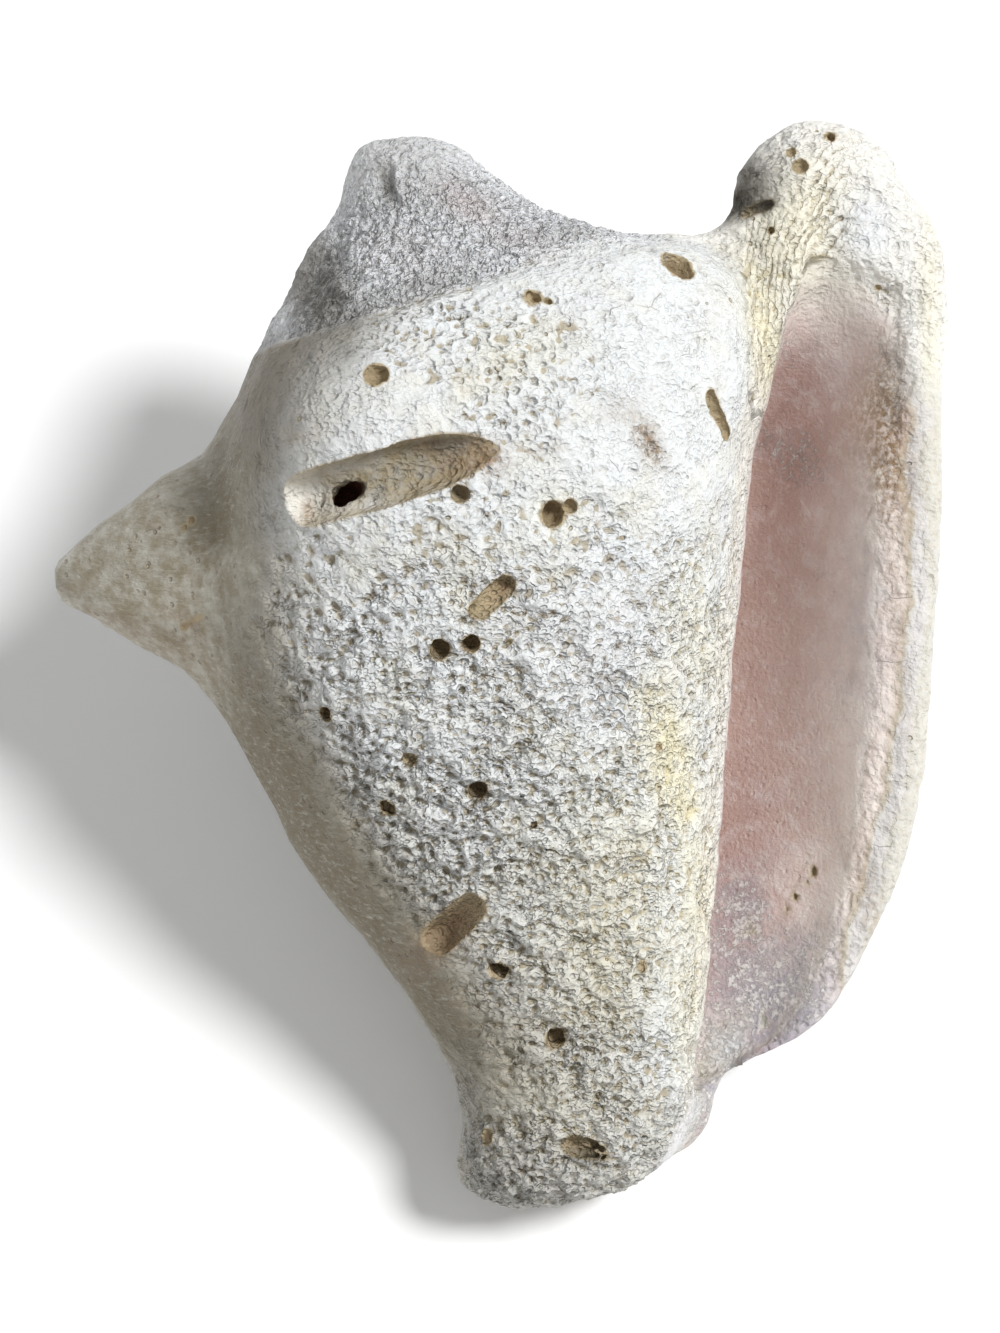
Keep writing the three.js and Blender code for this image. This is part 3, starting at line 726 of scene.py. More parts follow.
def relief_group(kind):
    """The worn surface's height in millimetres, and where its pits are."""
    group, board, start, end = new_group("Worn relief", kind, [
        ("Place", "NodeSocketVector", None),
        *((name, "NodeSocketFloat", value) for name, value in (
            ("Chalk", 1.0), ("Comb", 0.0), ("Sugar", 0.0), ("Lime", 1.0), ("Layered", 0.0), ("Layer place", 0.0),
            ("Ridge height", 0.75), ("Pit depth", 0.7), ("Grain height", 0.55), ("Layer height", 0.5),
        )),
    ], [(name, "NodeSocketFloat") for name in (
        "Height", "Fine height", "Low places", "Pits", "Lines", "Nicks", "Shaded gaps",
    )])
    maths, times, step, noise, cells = board.math, board.times, board.step, board.noise, board.cells
    place = start.outputs["Place"]
    warped = place
    for scale, amount in ((0.2, 1.8), (0.6, 0.6)):
        swirl = board.vector("SUBTRACT", noise(place, scale, 1, 0.5, "Color"), (0.5, 0.5, 0.5))
        warped = board.vector("ADD", warped, board.vector("SCALE", swirl, scale=amount))
    stretched = board.vector("MULTIPLY", warped, (0.85, 1.1, 1.0))

    # Bowls side by side with sharp borders, large and small
    bowls = []
    for scale, depth in ((0.6, 0.9), (1.25, 0.75)):
        cell = cells(stretched, scale)
        distance = cell.outputs["Distance"]
        tone = board.add("ShaderNodeSeparateXYZ", {"Vector": cell.outputs["Color"]})
        bowl = times(maths("POWER", distance, 3.0), 4.2)
        bowl = maths("SUBTRACT", maths("MINIMUM", bowl, 1.0), 1.0)
        bowls.append(times(bowl, step(tone.outputs[0], 0.1, 0.7, 0.2 * depth, depth)))
    lump = step(noise(place, 0.24, 2, 0.5), 0.3, 0.7, -1.0, 0.0)
    patch = step(noise(place, 0.11, 2), 0.35, 0.65, 0.65, 1.15)
    weight = times(times(start.outputs["Chalk"], patch), start.outputs["Ridge height"])
    ridge_drop = times(maths("ADD", bowls[0], lump), weight)
    fine_drop = times(bowls[1], weight)
    # The low places between the ridges, where the colour is darkened as painted shade.
    low_places = step(maths("ADD", bowls[0], bowls[1]), -1.35, -0.75, 1.0, 0.0)
    low_places = times(low_places, start.outputs["Chalk"])

    # Round pits side by side, as in a honeycomb
    comb = cells(warped, 0.62)
    open_pit = board.add("ShaderNodeSeparateXYZ", {"Vector": comb.outputs["Color"]})
    pits = step(comb.outputs["Distance"], 0.12, 0.6, 1.0, 0.0)
    pits = times(pits, step(open_pit.outputs[0], 0.1, 0.5, 0.0, 1.0))
    pits = times(pits, start.outputs["Comb"])
    pit_drop = times(times(pits, start.outputs["Pit depth"]), -1.0)

    # Pinholes and hair cracks
    hole = cells(warped, 0.24)
    chance = board.add("ShaderNodeSeparateXYZ", {"Vector": hole.outputs["Color"]}).outputs[0]
    pinholes = times(step(hole.outputs["Distance"], 0.06, 0.13, 1.0, 0.0), step(chance, 0.72, 0.78))
    crack = step(cells(warped, 0.12, "DISTANCE_TO_EDGE").outputs["Distance"], 0.0, 0.012, 0.3, 0.0)
    crack = times(crack, step(noise(place, 0.12, 2), 0.6, 0.68))
    nicks = maths("MAXIMUM", pinholes, crack)
    nicks = times(nicks, start.outputs["Lime"])
    fine_drop = maths("MULTIPLY_ADD", nicks, -0.6, fine_drop)

    # Sugary grains in clumps
    shaken = board.vector("SUBTRACT", noise(place, 0.5, 2, 0.6, "Color"), (0.5, 0.5, 0.5))
    shaken = board.vector("ADD", place, board.vector("SCALE", shaken, scale=2.0))
    grain = cells(shaken, 0.85).outputs["Distance"]
    small = cells(shaken, 1.8).outputs["Distance"]
    grains = times(times(grain, grain), -1.8)
    grains = maths("MULTIPLY_ADD", times(small, small), -0.8, grains)
    clump = step(noise(place, 0.4, 3, 0.6), 0.3, 0.7, -1.4, 0.0)
    sugar = times(start.outputs["Grain height"], start.outputs["Sugar"])
    grain_drop = times(clump, sugar)
    fine_drop = maths("MULTIPLY_ADD", grains, sugar, fine_drop)

    # Layers of growth, broken and wavering
    waver = times(noise(place, 0.09, 3, 0.6), 3.2)
    waver = maths("MULTIPLY_ADD", noise(place, 0.4, 3, 0.65), 1.5, waver)
    turns = maths("ADD", maths("DIVIDE", start.outputs["Layer place"], 2.5), waver)
    saw = maths("FRACT", turns)
    lines = maths("MAXIMUM", step(saw, 0.0, 0.5, 1.0, 0.0), step(saw, 0.88, 1.0, 0.0, 1.0))
    broken = step(noise(place, 0.35, 3, 0.7), 0.35, 0.6, 0.1, 1.0)
    lines = times(lines, times(broken, start.outputs["Layered"]))
    line_drop = times(times(lines, start.outputs["Layer height"]), -1.0)

    height = maths("ADD", maths("ADD", ridge_drop, pit_drop), maths("ADD", grain_drop, line_drop))
    for name, value in (
        ("Height", height), ("Fine height", fine_drop), ("Low places", low_places), ("Nicks", nicks), ("Pits", pits),
        ("Lines", lines),
    ):
        board.feed(end.inputs[name], value)
    # Painted shade between the grains.
    board.feed(end.inputs["Shaded gaps"], step(grain, 0.45, 0.85))
    return group


def relief_of(board, group, place, look):
    """The relief group, fed with the zones that lie on the surface."""
    fed = {name: board.attribute(name) for name in ("chalk", "comb", "sugar", "lime", "layered", "layer_place")}
    for name in ("ridge_height", "pit_depth", "grain_height", "layer_height"):
        fed[name] = getattr(look, name) * 1000
    return board.use(group, {"Place": place, **{
        name.replace("_", " ").capitalize(): value for name, value in fed.items()
    }})


def weathering(look, material):
    """The geometry nodes that subdivide the plain form and wear ridges, pits, grains and layers into it."""
    group, board, start, end = new_group("Weathering", "GeometryNodeTree", [
        ("Geometry", "NodeSocketGeometry", None),
        ("Fineness", "NodeSocketInt", 1),
        ("Inset", "NodeSocketFloat", 0.25),
        ("Undulation", "NodeSocketFloat", 0.5),
        ("Relief", "NodeSocketFloat", 1.0),
    ], [("Geometry", "NodeSocketGeometry")])
    fine = board.add("GeometryNodeSubdivisionSurface", {
        "Mesh": start.outputs["Geometry"], "Level": start.outputs["Fineness"],
    })
    place = board.use(place_group("GeometryNodeTree"), {
        "Position": board.add("GeometryNodeInputPosition").outputs[0],
    }).outputs["Place"]
    worn = relief_of(board, relief_group("GeometryNodeTree"), place, look)
    relief = board.math("MULTIPLY_ADD", worn.outputs["Fine height"], 0.5, worn.outputs["Height"])
    broad = board.step(board.noise(place, 0.07, 2), 0.3, 0.7, -1.0, 0.0)
    dents = board.step(board.noise(place, 0.2, 2), 0.55, 0.72, 0.0, -0.7)
    wear = board.times(board.math("ADD", broad, dents), start.outputs["Undulation"])
    height = board.math("MULTIPLY_ADD", relief, start.outputs["Relief"], wear)
    height = board.math("SUBTRACT", height, start.outputs["Inset"])
    offset = board.vector(
        "SCALE", board.add("GeometryNodeInputNormal").outputs[0], scale=board.math("DIVIDE", height, 1000)
    )
    moved = board.add("GeometryNodeSetPosition", {"Geometry": fine.outputs[0], "Offset": offset})
    real = board.add("GeometryNodeRealizeInstances", {"Geometry": moved.outputs[0]})
    dressed = board.add("GeometryNodeSetMaterial", {"Geometry": real.outputs[0], "Material": material})
    board.feed(end.inputs["Geometry"], dressed.outputs[0])
    return group


def run_nodes(thing, group, values):
    """Runs a geometry node group on an object and keeps the result as its mesh."""
    modifier = thing.modifiers.new(group.name, "NODES")
    modifier.node_group = group
    sockets = {item.name: item.identifier for item in group.interface.items_tree if item.in_out == "INPUT"}
    for name, value in values.items():
        modifier[sockets[name]] = value
    plain_mesh(thing)


# How uneven a boring's wall is: waves round it, their depth against its radius, and how they turn along it
UNEVENNESS = ((2, 0.035, 0.13), (3, 0.025, 0.31), (5, 0.02, -0.47), (9, 0.012, 0.6))


def burrow(stations, radii, seed, squash=1.0, ragged=1.0, sides=40, spacing=0.7):
    """A closed, uneven rod with round ends along a line of points, in the shell's own frame."""
    stations = np.array(stations, float)
    lengths = np.linalg.norm(np.diff(stations, axis=0), axis=1)
    along = np.concatenate([[0], np.cumsum(lengths)])
    steps = max(int(along[-1] / spacing), 3)
    t = np.linspace(0, along[-1], steps)
    line = np.stack([np.interp(t, along, stations[:, k]) for k in range(3)], 1)
    if len(stations) > 2:
        for _ in range(6):
            line[1:-1] = (line[:-2] + 2 * line[1:-1] + line[2:]) / 4
    radius = np.interp(t, along, radii)
    tangent = np.gradient(line, axis=0)
    tangent /= np.linalg.norm(tangent, axis=1, keepdims=True)
    side = np.cross(tangent, (0.31, 0.2, 0.93))
    side /= np.linalg.norm(side, axis=1, keepdims=True)
    other = np.cross(tangent, side)
    caps = np.radians(np.array([80, 60, 40, 20]))
    centres = [line[0] - tangent[0] * radius[0] * math.sin(a) for a in caps]
    rings = [(c, radius[0] * math.cos(a), 0) for c, a in zip(centres, caps)]
    rings += [(line[i], radius[i], i) for i in range(steps)]
    rings += [
        (line[-1] + tangent[-1] * radius[-1] * math.sin(a), radius[-1] * math.cos(a), steps - 1) for a in caps[::-1]
    ]
    phases = np.random.default_rng(seed).uniform(0, 2 * math.pi, (4, 3))
    angle = np.linspace(0, 2 * math.pi, sides, endpoint=False)
    points = [line[0] - tangent[0] * radius[0]]
    for number, (centre, size, i) in enumerate(rings):
        uneven = np.ones(sides)
        for phase, (waves, depth, drift) in enumerate(UNEVENNESS):
            uneven += ragged * depth * np.sin(waves * angle + phases[phase, 0] + number * drift)
        points.extend(
            centre + size * uneven[:, None] * (
                np.cos(angle)[:, None] * side[i] * squash + np.sin(angle)[:, None] * other[i]
            )
        )
    points.append(line[-1] + tangent[-1] * radius[-1])
    faces = [[0, 1 + (k + 1) % sides, 1 + k] for k in range(sides)]
    for ring in range(len(rings) - 1):
        a = 1 + ring * sides
        b = a + sides
        faces += [[a + k, a + (k + 1) % sides, b + (k + 1) % sides, b + k] for k in range(sides)]
    last = 1 + (len(rings) - 1) * sides
    faces += [[last + k, last + (k + 1) % sides, len(points) - 1] for k in range(sides)]
    return np.array(points), faces


# Borings that run along the surface: (column, row, depth below the surface) stations, and radii, in millimetres
GALLERY = {
    "line": (
        (302, 502, 0.2), (326, 495, 0.9), (369, 484, 1.4), (410, 471, 1.8), (440, 462, 1.4), (470, 454, -0.4),
        (500, 448, -1.3),
    ),
    "radii": (4.7, 4.9, 5.0, 4.9, 4.6, 3.5, 1.9),
}
TRAILS = (
    ((433, 945, 1.6), (470, 911, 0.4), (3.0, 2.8), 1.2),
    ((479, 612, 0.0), (505, 587, 1.3), (1.9, 2.0), 1.0),
    ((714, 397, 1.0), (730, 434, 1.0), (1.35, 1.35), 1.0),
    ((574, 1148, 1.6), (602, 1159, 2.4), (1.9, 1.6), 4.0),
    ((386, 166, -0.2), (384, 184, 0.1), (1.6, 2.1), 1.5),
    ((384, 184, 0.1), (394, 202, 0.3), (2.1, 1.5), 1.5),
    ((744, 210, 0.6), (768, 204, 0.9), (1.3, 1.0), 3.0),
    ((305, 505, 5.0), (308, 522, 4.4), (0.5, 0.5), 2.5),
    ((498, 986, -0.2), (502, 1002, -0.4), (0.8, 0.7), 2.0),
    ((566, 1030, 0.2), (570, 1026, 0.2), (0.7, 0.6), 2.0),
    ((182, 628, -0.3), (206, 613, -0.3), (0.8, 0.6), 2.0),
)

# Round borings: column, row, radius, squash and depth, in millimetres
HOLES = (
    (376, 372, 2.2, 0.95, 3.2), (533, 296, 1.7, 0.7, 2.0), (548, 300, 0.8, 1.0, 1.6), (680, 262, 3.3, 1.0, 3.4),
    (461, 495, 1.6, 1.0, 3.6), (555, 515, 2.3, 0.9, 4.2), (572, 507, 1.3, 1.0, 2.6), (439, 652, 1.8, 1.0, 4.4),
    (471, 646, 1.6, 1.0, 4.4), (510, 645, 0.9, 1.0, 1.2), (323, 717, 1.4, 1.0, 3.4), (407, 764, 1.3, 1.0, 2.6),
    (477, 796, 1.8, 1.0, 5.0), (384, 812, 1.5, 1.1, 3.4), (535, 829, 0.6, 1.0, 2.0), (497, 974, 1.7, 1.1, 4.4),
    (555, 1043, 1.7, 1.1, 4.6), (483, 1138, 1.6, 1.0, 1.4), (831, 133, 1.2, 0.7, 3.0), (800, 165, 1.5, 1.0, 1.4),
    (790, 150, 1.0, 1.0, 1.4), (190, 520, 0.7, 1.2, 1.2), (183, 527, 0.6, 1.0, 1.0), (770, 230, 0.7, 1.0, 1.6),
    (812, 872, 0.7, 1.3, 1.6), (806, 882, 0.4, 1.0, 0.8), (794, 897, 0.5, 1.3, 1.2), (786, 910, 0.4, 1.0, 0.8),
    (877, 290, 0.6, 1.0, 1.2), (645, 968, 1.0, 1.2, 1.4), (662, 748, 0.8, 1.0, 1.2),
)
BREACH = (348, 487, 2.9, 0.76, 17)
BREACH_DIRECTION = np.array([0.05, 0.1, 1.0])

# The seed of the borings scattered over the back
SCATTER_SEED = 5


def along_surface(column, row, depth):
    """The point at a depth below the shell's front surface."""
    x, y = from_photo(column, row)
    point = front_point(x, y)
    return point - depth * outward(shell_field, point)


def rods():
    """The borings of the front: stations, radii, seed, squash, raggedness, sides, spacing and set of each."""
    found = [([along_surface(*place) for place in GALLERY["line"]], GALLERY["radii"], 1, 1.0, 0.6, 40, 0.7, 0)]
    for number, (start, end, radii, ragged) in enumerate(TRAILS):
        line = [along_surface(*start), along_surface(*end)]
        found.append((line, radii, 10 + number, 1.0, ragged, 40, 0.7, number % 2))
    for number, (column, row, radius, squash, depth) in enumerate(HOLES + (BREACH,)):
        x, y = from_photo(column, row)
        point = front_point(x, y)
        out = outward(shell_field, point)
        breach = (column, row) == BREACH[:2]
        if breach:
            out = BREACH_DIRECTION / np.linalg.norm(BREACH_DIRECTION)
        bottom = point - out * max(1.15 * depth - radius, 0.4 * radius)
        line = [point + out * 1.5 * radius, point, bottom]
        radii = (radius * 1.25, radius, radius * 0.96)
        ragged = 3.5 if breach else 1.5
        found.append((line, radii, 40 + number, squash, ragged, 30, 0.5, 2 - number % 2))
    return found


def bored_of(points, found, near, far):
    """How surely each point lies on a boring of the front or round it: 1 up to near from its wall, 0 past far."""
    total = np.zeros(len(points))
    for line, radii, _, squash, ragged, *_ in found:
        for number in range(len(line) - 1):
            axis = line[number + 1] - line[number]
            share = np.clip((points - line[number]) @ axis / (axis @ axis), 0, 1)
            away = np.linalg.norm(points - line[number] - share[:, None] * axis, axis=1)
            radius = radii[number] + (radii[number + 1] - radii[number]) * share
            beyond = away - radius * max(squash, 1) * (1 + 0.05 * ragged)
            total = np.maximum(total, 1 - smooth(beyond, near, far))
    return total


def joined(parts):
    """One array of points and one list of faces out of several."""
    points, faces, count = [], [], 0
    for part_points, part_faces in parts:
        points.append(part_points)
        faces += [[count + k for k in face] for face in part_faces]
        count += len(part_points)
    return np.concatenate(points), faces


def bore(thing, tool):
    """Cuts one object out of another and takes it away."""
    modifier = thing.modifiers.new("Borings", "BOOLEAN")
    modifier.operation = "DIFFERENCE"
    modifier.solver = "MANIFOLD"
    modifier.object = tool
    plain_mesh(thing)
    bpy.data.objects.remove(tool)


def scatter_tree(seed):
    """The geometry nodes that set small irregular rods on the parts of a surface that carry the zone named borings."""
    group, board, start, end = new_group("Scattered borings", "GeometryNodeTree", [
        ("Geometry", "NodeSocketGeometry", None),
        ("Number per square metre", "NodeSocketFloat", 2600.0),
        ("Smallest gap", "NodeSocketFloat", 0.006),
        ("Smallest radius", "NodeSocketFloat", 0.0006),
        ("Largest radius", "NodeSocketFloat", 0.0019),
        ("Seed", "NodeSocketInt", seed),
    ], [("Geometry", "NodeSocketGeometry")])
    spots = board.add("GeometryNodeDistributePointsOnFaces", {
        "Mesh": start.outputs["Geometry"],
        "Distance Min": start.outputs["Smallest gap"],
        "Density Max": start.outputs["Number per square metre"],
        "Density Factor": board.attribute("borings"),
        "Seed": start.outputs["Seed"],
    }, distribute_method="POISSON")
    size = board.add("FunctionNodeRandomValue", {
        2: start.outputs["Smallest radius"], 3: start.outputs["Largest radius"], "Seed": start.outputs["Seed"],
    }, data_type="FLOAT").outputs[1]
    long = board.add("FunctionNodeRandomValue", {2: 0.8, 3: 2.2, "Seed": 7}, data_type="FLOAT").outputs[1]
    shape = board.add("ShaderNodeCombineXYZ", {"X": size, "Y": size, "Z": board.times(size, long)})
    ball = board.add("GeometryNodeMeshIcoSphere", {"Radius": 1.0, "Subdivisions": 3})
    rods = board.add("GeometryNodeInstanceOnPoints", {
        "Points": spots.outputs["Points"], "Instance": ball.outputs["Mesh"],
        "Rotation": spots.outputs["Rotation"], "Scale": shape.outputs[0],
    })
    real = board.add("GeometryNodeRealizeInstances", {"Geometry": rods.outputs[0]})
    dressed = board.add("GeometryNodeSetMaterial", {"Geometry": real.outputs[0]})
    board.feed(end.inputs["Geometry"], dressed.outputs[0])
    return group


def thin_out(thing, most, plain):
    """Takes triangles away where they show least and the surface is plain, until no more than most are left."""
    thing.data.calc_loop_triangles()
    count = len(thing.data.loop_triangles)
    if count > most:
        group = thing.vertex_groups.new(name="Plain surface")
        for level in range(1, 11):
            chosen = np.flatnonzero(np.round(plain * 10) == level)
            group.add(chosen.tolist(), level / 10, "REPLACE")
        modifier = thing.modifiers.new("Fewer triangles", "DECIMATE")
        modifier.ratio = most / count
        modifier.vertex_group = group.name
        modifier.vertex_group_factor = 1.0
        plain_mesh(thing)
        thing.vertex_groups.clear()


def hollows_of(mesh):
    """How far each point lies below the smoothed surface round it, in millimetres, near by and more widely."""
    points = points_of(mesh) * 1000
    edges = np.empty(len(mesh.edges) * 2, np.int32)
    mesh.edges.foreach_get("vertices", edges)
    a, b = edges.reshape(-1, 2).T
    number = np.bincount(a, minlength=len(points)) + np.bincount(b, minlength=len(points))
    normals = np.empty(len(points) * 3, np.float32)
    mesh.vertices.foreach_get("normal", normals)
    normals = normals.reshape(-1, 3)
    smoothed = points.copy()
    results = []
    for rounds in (4, 14):
        for _ in range(rounds):
            total = np.stack([
                np.bincount(a, smoothed[b, k], len(points)) + np.bincount(b, smoothed[a, k], len(points))
                for k in range(3)
            ], 1)
            smoothed = total / np.maximum(number, 1)[:, None]
        results.append(((smoothed - points) * normals).sum(1))
    return results


def blank_material(name):
    """A new material with no nodes, and the board of its tree."""
    material = bpy.data.materials.new(name)
    material.use_nodes = True
    material.node_tree.nodes.clear()
    return material, Board(material.node_tree)


def shell_material(look, colours):
    """Worn shell lime: chalky, pitted, greyish where polished, sugary on the spire and pink in the mouth, with painted
    shade in pits, gaps, borings, deep in the mouth and on the left side, and painted light across the mouth.
    """
    material, board = blank_material("shell_lime")
    maths, times, step, noise, tint = board.math, board.times, board.step, board.noise, board.tint
    place = board.use(place_group("ShaderNodeTree"), {
        "Position": board.add("ShaderNodeTexCoord").outputs["Object"],
    }).outputs["Place"]
    relief = relief_of(board, relief_group("ShaderNodeTree"), place, look)
    zone = {name: board.attribute(name) for name in (
        "inside", "spire", "strip", "polish", "shaded_flank", "lobe", "pale", "shadow_and_grime", "depth", "deep_in_shade", "lined", "tinted",
        "glow", "rim_lined", "canal", "across", "low", "bored", "yellow", "brown_stain_and_shade", "grey_dirt_and_shade", "bluish", "rose", "crumbs",
        "veil", "groove", "near_hollow", "wide_hollow",
    )}

    def rgb(name):
        return (*getattr(colours, name), 1.0)

    def paint(under, name, share, *others):
        """Lays a colour over what is there, by the product of the shares."""
        return tint(times(share, *others), under, rgb(name))

    blotches = noise(place, 0.09, 4, 0.6)
    flecks = noise(place, 0.9, 3, 0.65)
    mottle = noise(place, 0.32, 4, 0.6)
    # Painted shade: the hollows of the mesh, near and wide, darken the colour where shadow would gather.
    near = step(zone["near_hollow"], 0.06, 0.3)
    wide = step(zone["wide_hollow"], 0.05, 0.7)

    base = tint(step(blotches, 0.45, 0.8), rgb("chalk"), rgb("cream"))
    # Darker and browner lower front: partly sand, partly painted shade.
    base = paint(base, "sand", zone["low"], 0.45)
    base = paint(base, "white", zone["lobe"], 0.85)
    base = paint(base, "white", zone["strip"], 0.95)
    base = paint(base, "bluish", step(mottle, 0.45, 0.75), 0.2)
    # Painted shade in the pits: the comb pits, the low places between ridges and the hollows are laid with a dark tan
    # where shadow falls.
    pitted = maths("MAXIMUM", times(relief.outputs["Pits"], 0.2), relief.outputs["Low places"])
    pitted = maths("MAXIMUM", pitted, near)
    base = paint(base, "pit_shade_and_tan", pitted, 0.7)
    base = paint(base, "pit_shade_and_tan", wide, 0.2)

    # The polished flank and spine are a dull beige, darkened further as painted shade on these sides, which face away
    # from the light.
    polished = tint(step(mottle, 0.3, 0.75), rgb("polished"), rgb("cream"))
    base = tint(times(zone["polish"], 0.95), base, polished)
    # Painted shade on the left side and in the valley, partly a brownish stain of sand.
    base = paint(base, "shaded_flank", zone["shaded_flank"], 0.9)
    streaks = noise(board.vector("MULTIPLY", place, (0.35, 1.6, 0.8)), 0.7, 4, 0.7)
    smeared = times(step(streaks, 0.5, 0.72, 0.0, 0.4), zone["polish"])
    base = paint(base, "cream", smeared)
    specks = step(board.cells(place, 0.42).outputs["Distance"], 0.1, 0.24, 1.0, 0.0)
    specks = times(specks, step(mottle, 0.4, 0.6))
    base = paint(base, "dirt_and_shade", times(specks, zone["polish"]), 0.5)

    sugar = tint(step(flecks, 0.35, 0.65), rgb("spire"), rgb("bluish"))
    # Painted shade between the spire's grains and in its hollows.
    sugar = paint(sugar, "gap_shade", relief.outputs["Shaded gaps"], 0.4)
    sugar = paint(sugar, "gap_shade", near, 0.3)
    base = tint(zone["spire"], base, sugar)

    # The dirt-and-shade marks here are partly painted shade; the other marks are the shell's own tints.
    for name, share in (("yellow", 0.9), ("grey_dirt_and_shade", 0.85), ("bluish", 0.75), ("rose", 0.5)):
        spread = times(zone[name], step(mottle, 0.2, 0.6, 0.45, 1.0))
        base = tint(times(spread, share), base, rgb(name))
    nicked = times(relief.outputs["Nicks"], 0.75)
    base = paint(base, "boring", nicked)

    ragged = maths("ADD", board.attribute("edge_line"), times(noise(place, 0.35, 3, 0.7), 2.6))
    ragged = maths("SUBTRACT", maths("MULTIPLY_ADD", noise(place, 0.07, 3, 0.6), 4.0, ragged), 3.3)
    base = paint(base, "rim", zone["rim_lined"], step(flecks, 0.3, 0.7, 0.5, 0.95))
    base = paint(base, "ochre", relief.outputs["Lines"], 0.6)
    lilac = times(step(ragged, 0.4, 1.2), step(ragged, 2.4, 4.2, 1.0, 0.0))
    lilac = maths("MAXIMUM", times(lilac, zone["rim_lined"]), zone["canal"])
    tan_line = times(step(ragged, -1.6, -0.2), step(ragged, 0.2, 0.8, 1.0, 0.0))
    tan_line = times(times(tan_line, zone["rim_lined"]), step(blotches, 0.3, 0.6, 0.5, 1.0))

    # The lining: deeper pink by the columella and paler towards the lip, partly its own colour and partly painted light
    # through the thin lip; painted light in the middle of the mouth, and painted shade deep in it.
    toward_lip = maths("MULTIPLY_ADD", maths("SUBTRACT", blotches, 0.5), 0.9, zone["across"])
    flesh = tint(step(toward_lip, 0.15, 1.0), rgb("pink"), rgb("pale_pink_and_glow"))
    flesh = paint(flesh, "pale_pink_and_glow", zone["glow"], 0.5)
    veil = step(noise(place, 0.16, 4, 0.7), 0.5, 0.72)
    flesh = paint(flesh, "lilac", veil, 0.4)
    flesh = paint(flesh, "deep_pink_and_shade", zone["deep_in_shade"], 0.5)
    pale = times(zone["veil"], step(mottle, 0.25, 0.6, 0.4, 1.0))
    flesh = paint(flesh, "veil", pale)
    crumb = maths("MULTIPLY_ADD", zone["crumbs"], 0.21, noise(place, 0.8, 5, 0.75))
    crumbs = times(step(crumb, 0.58, 0.7), step(zone["crumbs"], 0.05, 0.35))
    flesh = paint(flesh, "crust", crumbs, 0.75)
    lined = times(zone["lined"], step(ragged, -0.2, 1.2, 1.0, 0.0))
    lined = maths("MAXIMUM", lined, times(zone["rim_lined"], step(ragged, -0.8, 0.6, 1.0, 0.0)))
    base = paint(base, "pale_pink_and_glow", zone["tinted"], 0.7)
    flesh = paint(flesh, "crust", step(noise(place, 0.3, 5, 0.7), 0.46, 0.7, 0.0, 0.45))
    flesh = paint(flesh, "pink", step(mottle, 0.5, 0.8, 0.0, 0.3))
    base = tint(lined, base, flesh)
    base = paint(base, "lilac", lilac, 0.5)
    base = paint(base, "tan", tan_line, 0.6)

    tan = tint(step(mottle, 0.35, 0.7), rgb("boring"), rgb("pit_shade_and_tan"))
    # Painted shade: the borings darken with depth.
    tan = paint(tan, "boring_shade", step(zone["depth"], 2.2, 5.0, 0.0, 0.8))
    silt = tint(step(mottle, 0.3, 0.7), rgb("groove"), rgb("pit_shade_and_tan"))
    silt = paint(silt, "white", zone["pale"], 0.95)
    tan = tint(zone["groove"], tan, silt)
    base = tint(zone["bored"], base, tan)
    # Brown stains, with painted shade under the spine and a painted shadow under the groove's edge.
    rusty = times(zone["brown_stain_and_shade"], step(flecks, 0.35, 0.6, 0.25, 1.0))
    base = paint(base, "dirt_and_shade", rusty)
    # Painted shadow, partly black grime, in crevices and under edges.
    base = paint(base, "soot_and_shadow", zone["shadow_and_grime"], step(mottle, 0.2, 0.5, 0.6, 1.0))
    # Painted shade deep inside the borings.
    deep = times(step(zone["depth"], 7.5, 9.5), zone["bored"])
    base = paint(base, "deep_boring_shade", deep)

    roughness = board.blend(zone["polish"], 0.82, 0.5)
    roughness = board.blend(zone["inside"], roughness, 0.55)
    roughness = board.blend(zone["strip"], roughness, 0.5)
    roughness = maths("ADD", roughness, step(flecks, 0.3, 0.7, -0.08, 0.1))

    fine = noise(place, 1.2, 4, 0.65)
    scratches = noise(board.vector("MULTIPLY", place, (0.5, 2.2, 1.0)), 0.8, 3, 0.7)
    bump = maths("MULTIPLY_ADD", relief.outputs["Height"], 1.1, relief.outputs["Fine height"])
    bump = maths("MULTIPLY_ADD", fine, 0.35, bump)
    bump = maths("MULTIPLY_ADD", scratches, times(zone["polish"], 0.5), bump)
    bump = maths("MULTIPLY_ADD", times(specks, zone["polish"]), -0.5, bump)
    bump = maths("MULTIPLY_ADD", crumbs, 0.15, bump)
    bump = maths("MULTIPLY_ADD", noise(place, 1.1, 3, 0.6), times(zone["spire"], 0.5), bump)
    shader = board.add("ShaderNodeBsdfPrincipled", {
        "Base Color": base, "Roughness": roughness, "IOR": 1.5, "Specular IOR Level": 0.35,
        "Normal": board.add("ShaderNodeBump", {"Height": bump, "Distance": 0.001, "Strength": 1.0}).outputs[0],
    })
    out = board.add("ShaderNodeOutputMaterial", {"Surface": shader.outputs[0]})
    out.location = (board.count // 8 * 220 + 260, 0)
    return material


def floor_material(colour):
    """Matt pale paper, faintly uneven."""
    material, board = blank_material("floor_paper")
    place = board.add("ShaderNodeTexCoord").outputs["Object"]
    cloud = board.noise(place, 3.0, 3)
    tone = board.tint(board.step(cloud, 0.3, 0.7), (*colour, 1.0), tuple(c * 0.985 for c in colour) + (1.0,))
    shader = board.add("ShaderNodeBsdfPrincipled", {"Base Color": tone, "Roughness": 0.9})
    board.add("ShaderNodeOutputMaterial", {"Surface": shader.outputs[0]})
    return material


def length(name, description, value, least=0.0, most=0.003, precision=5):
    """A length in metres that a user may change."""
    return FloatProperty(
        name=name, description=description, default=value, min=least, max=most, precision=precision,
        unit="LENGTH", subtype="DISTANCE",
    )


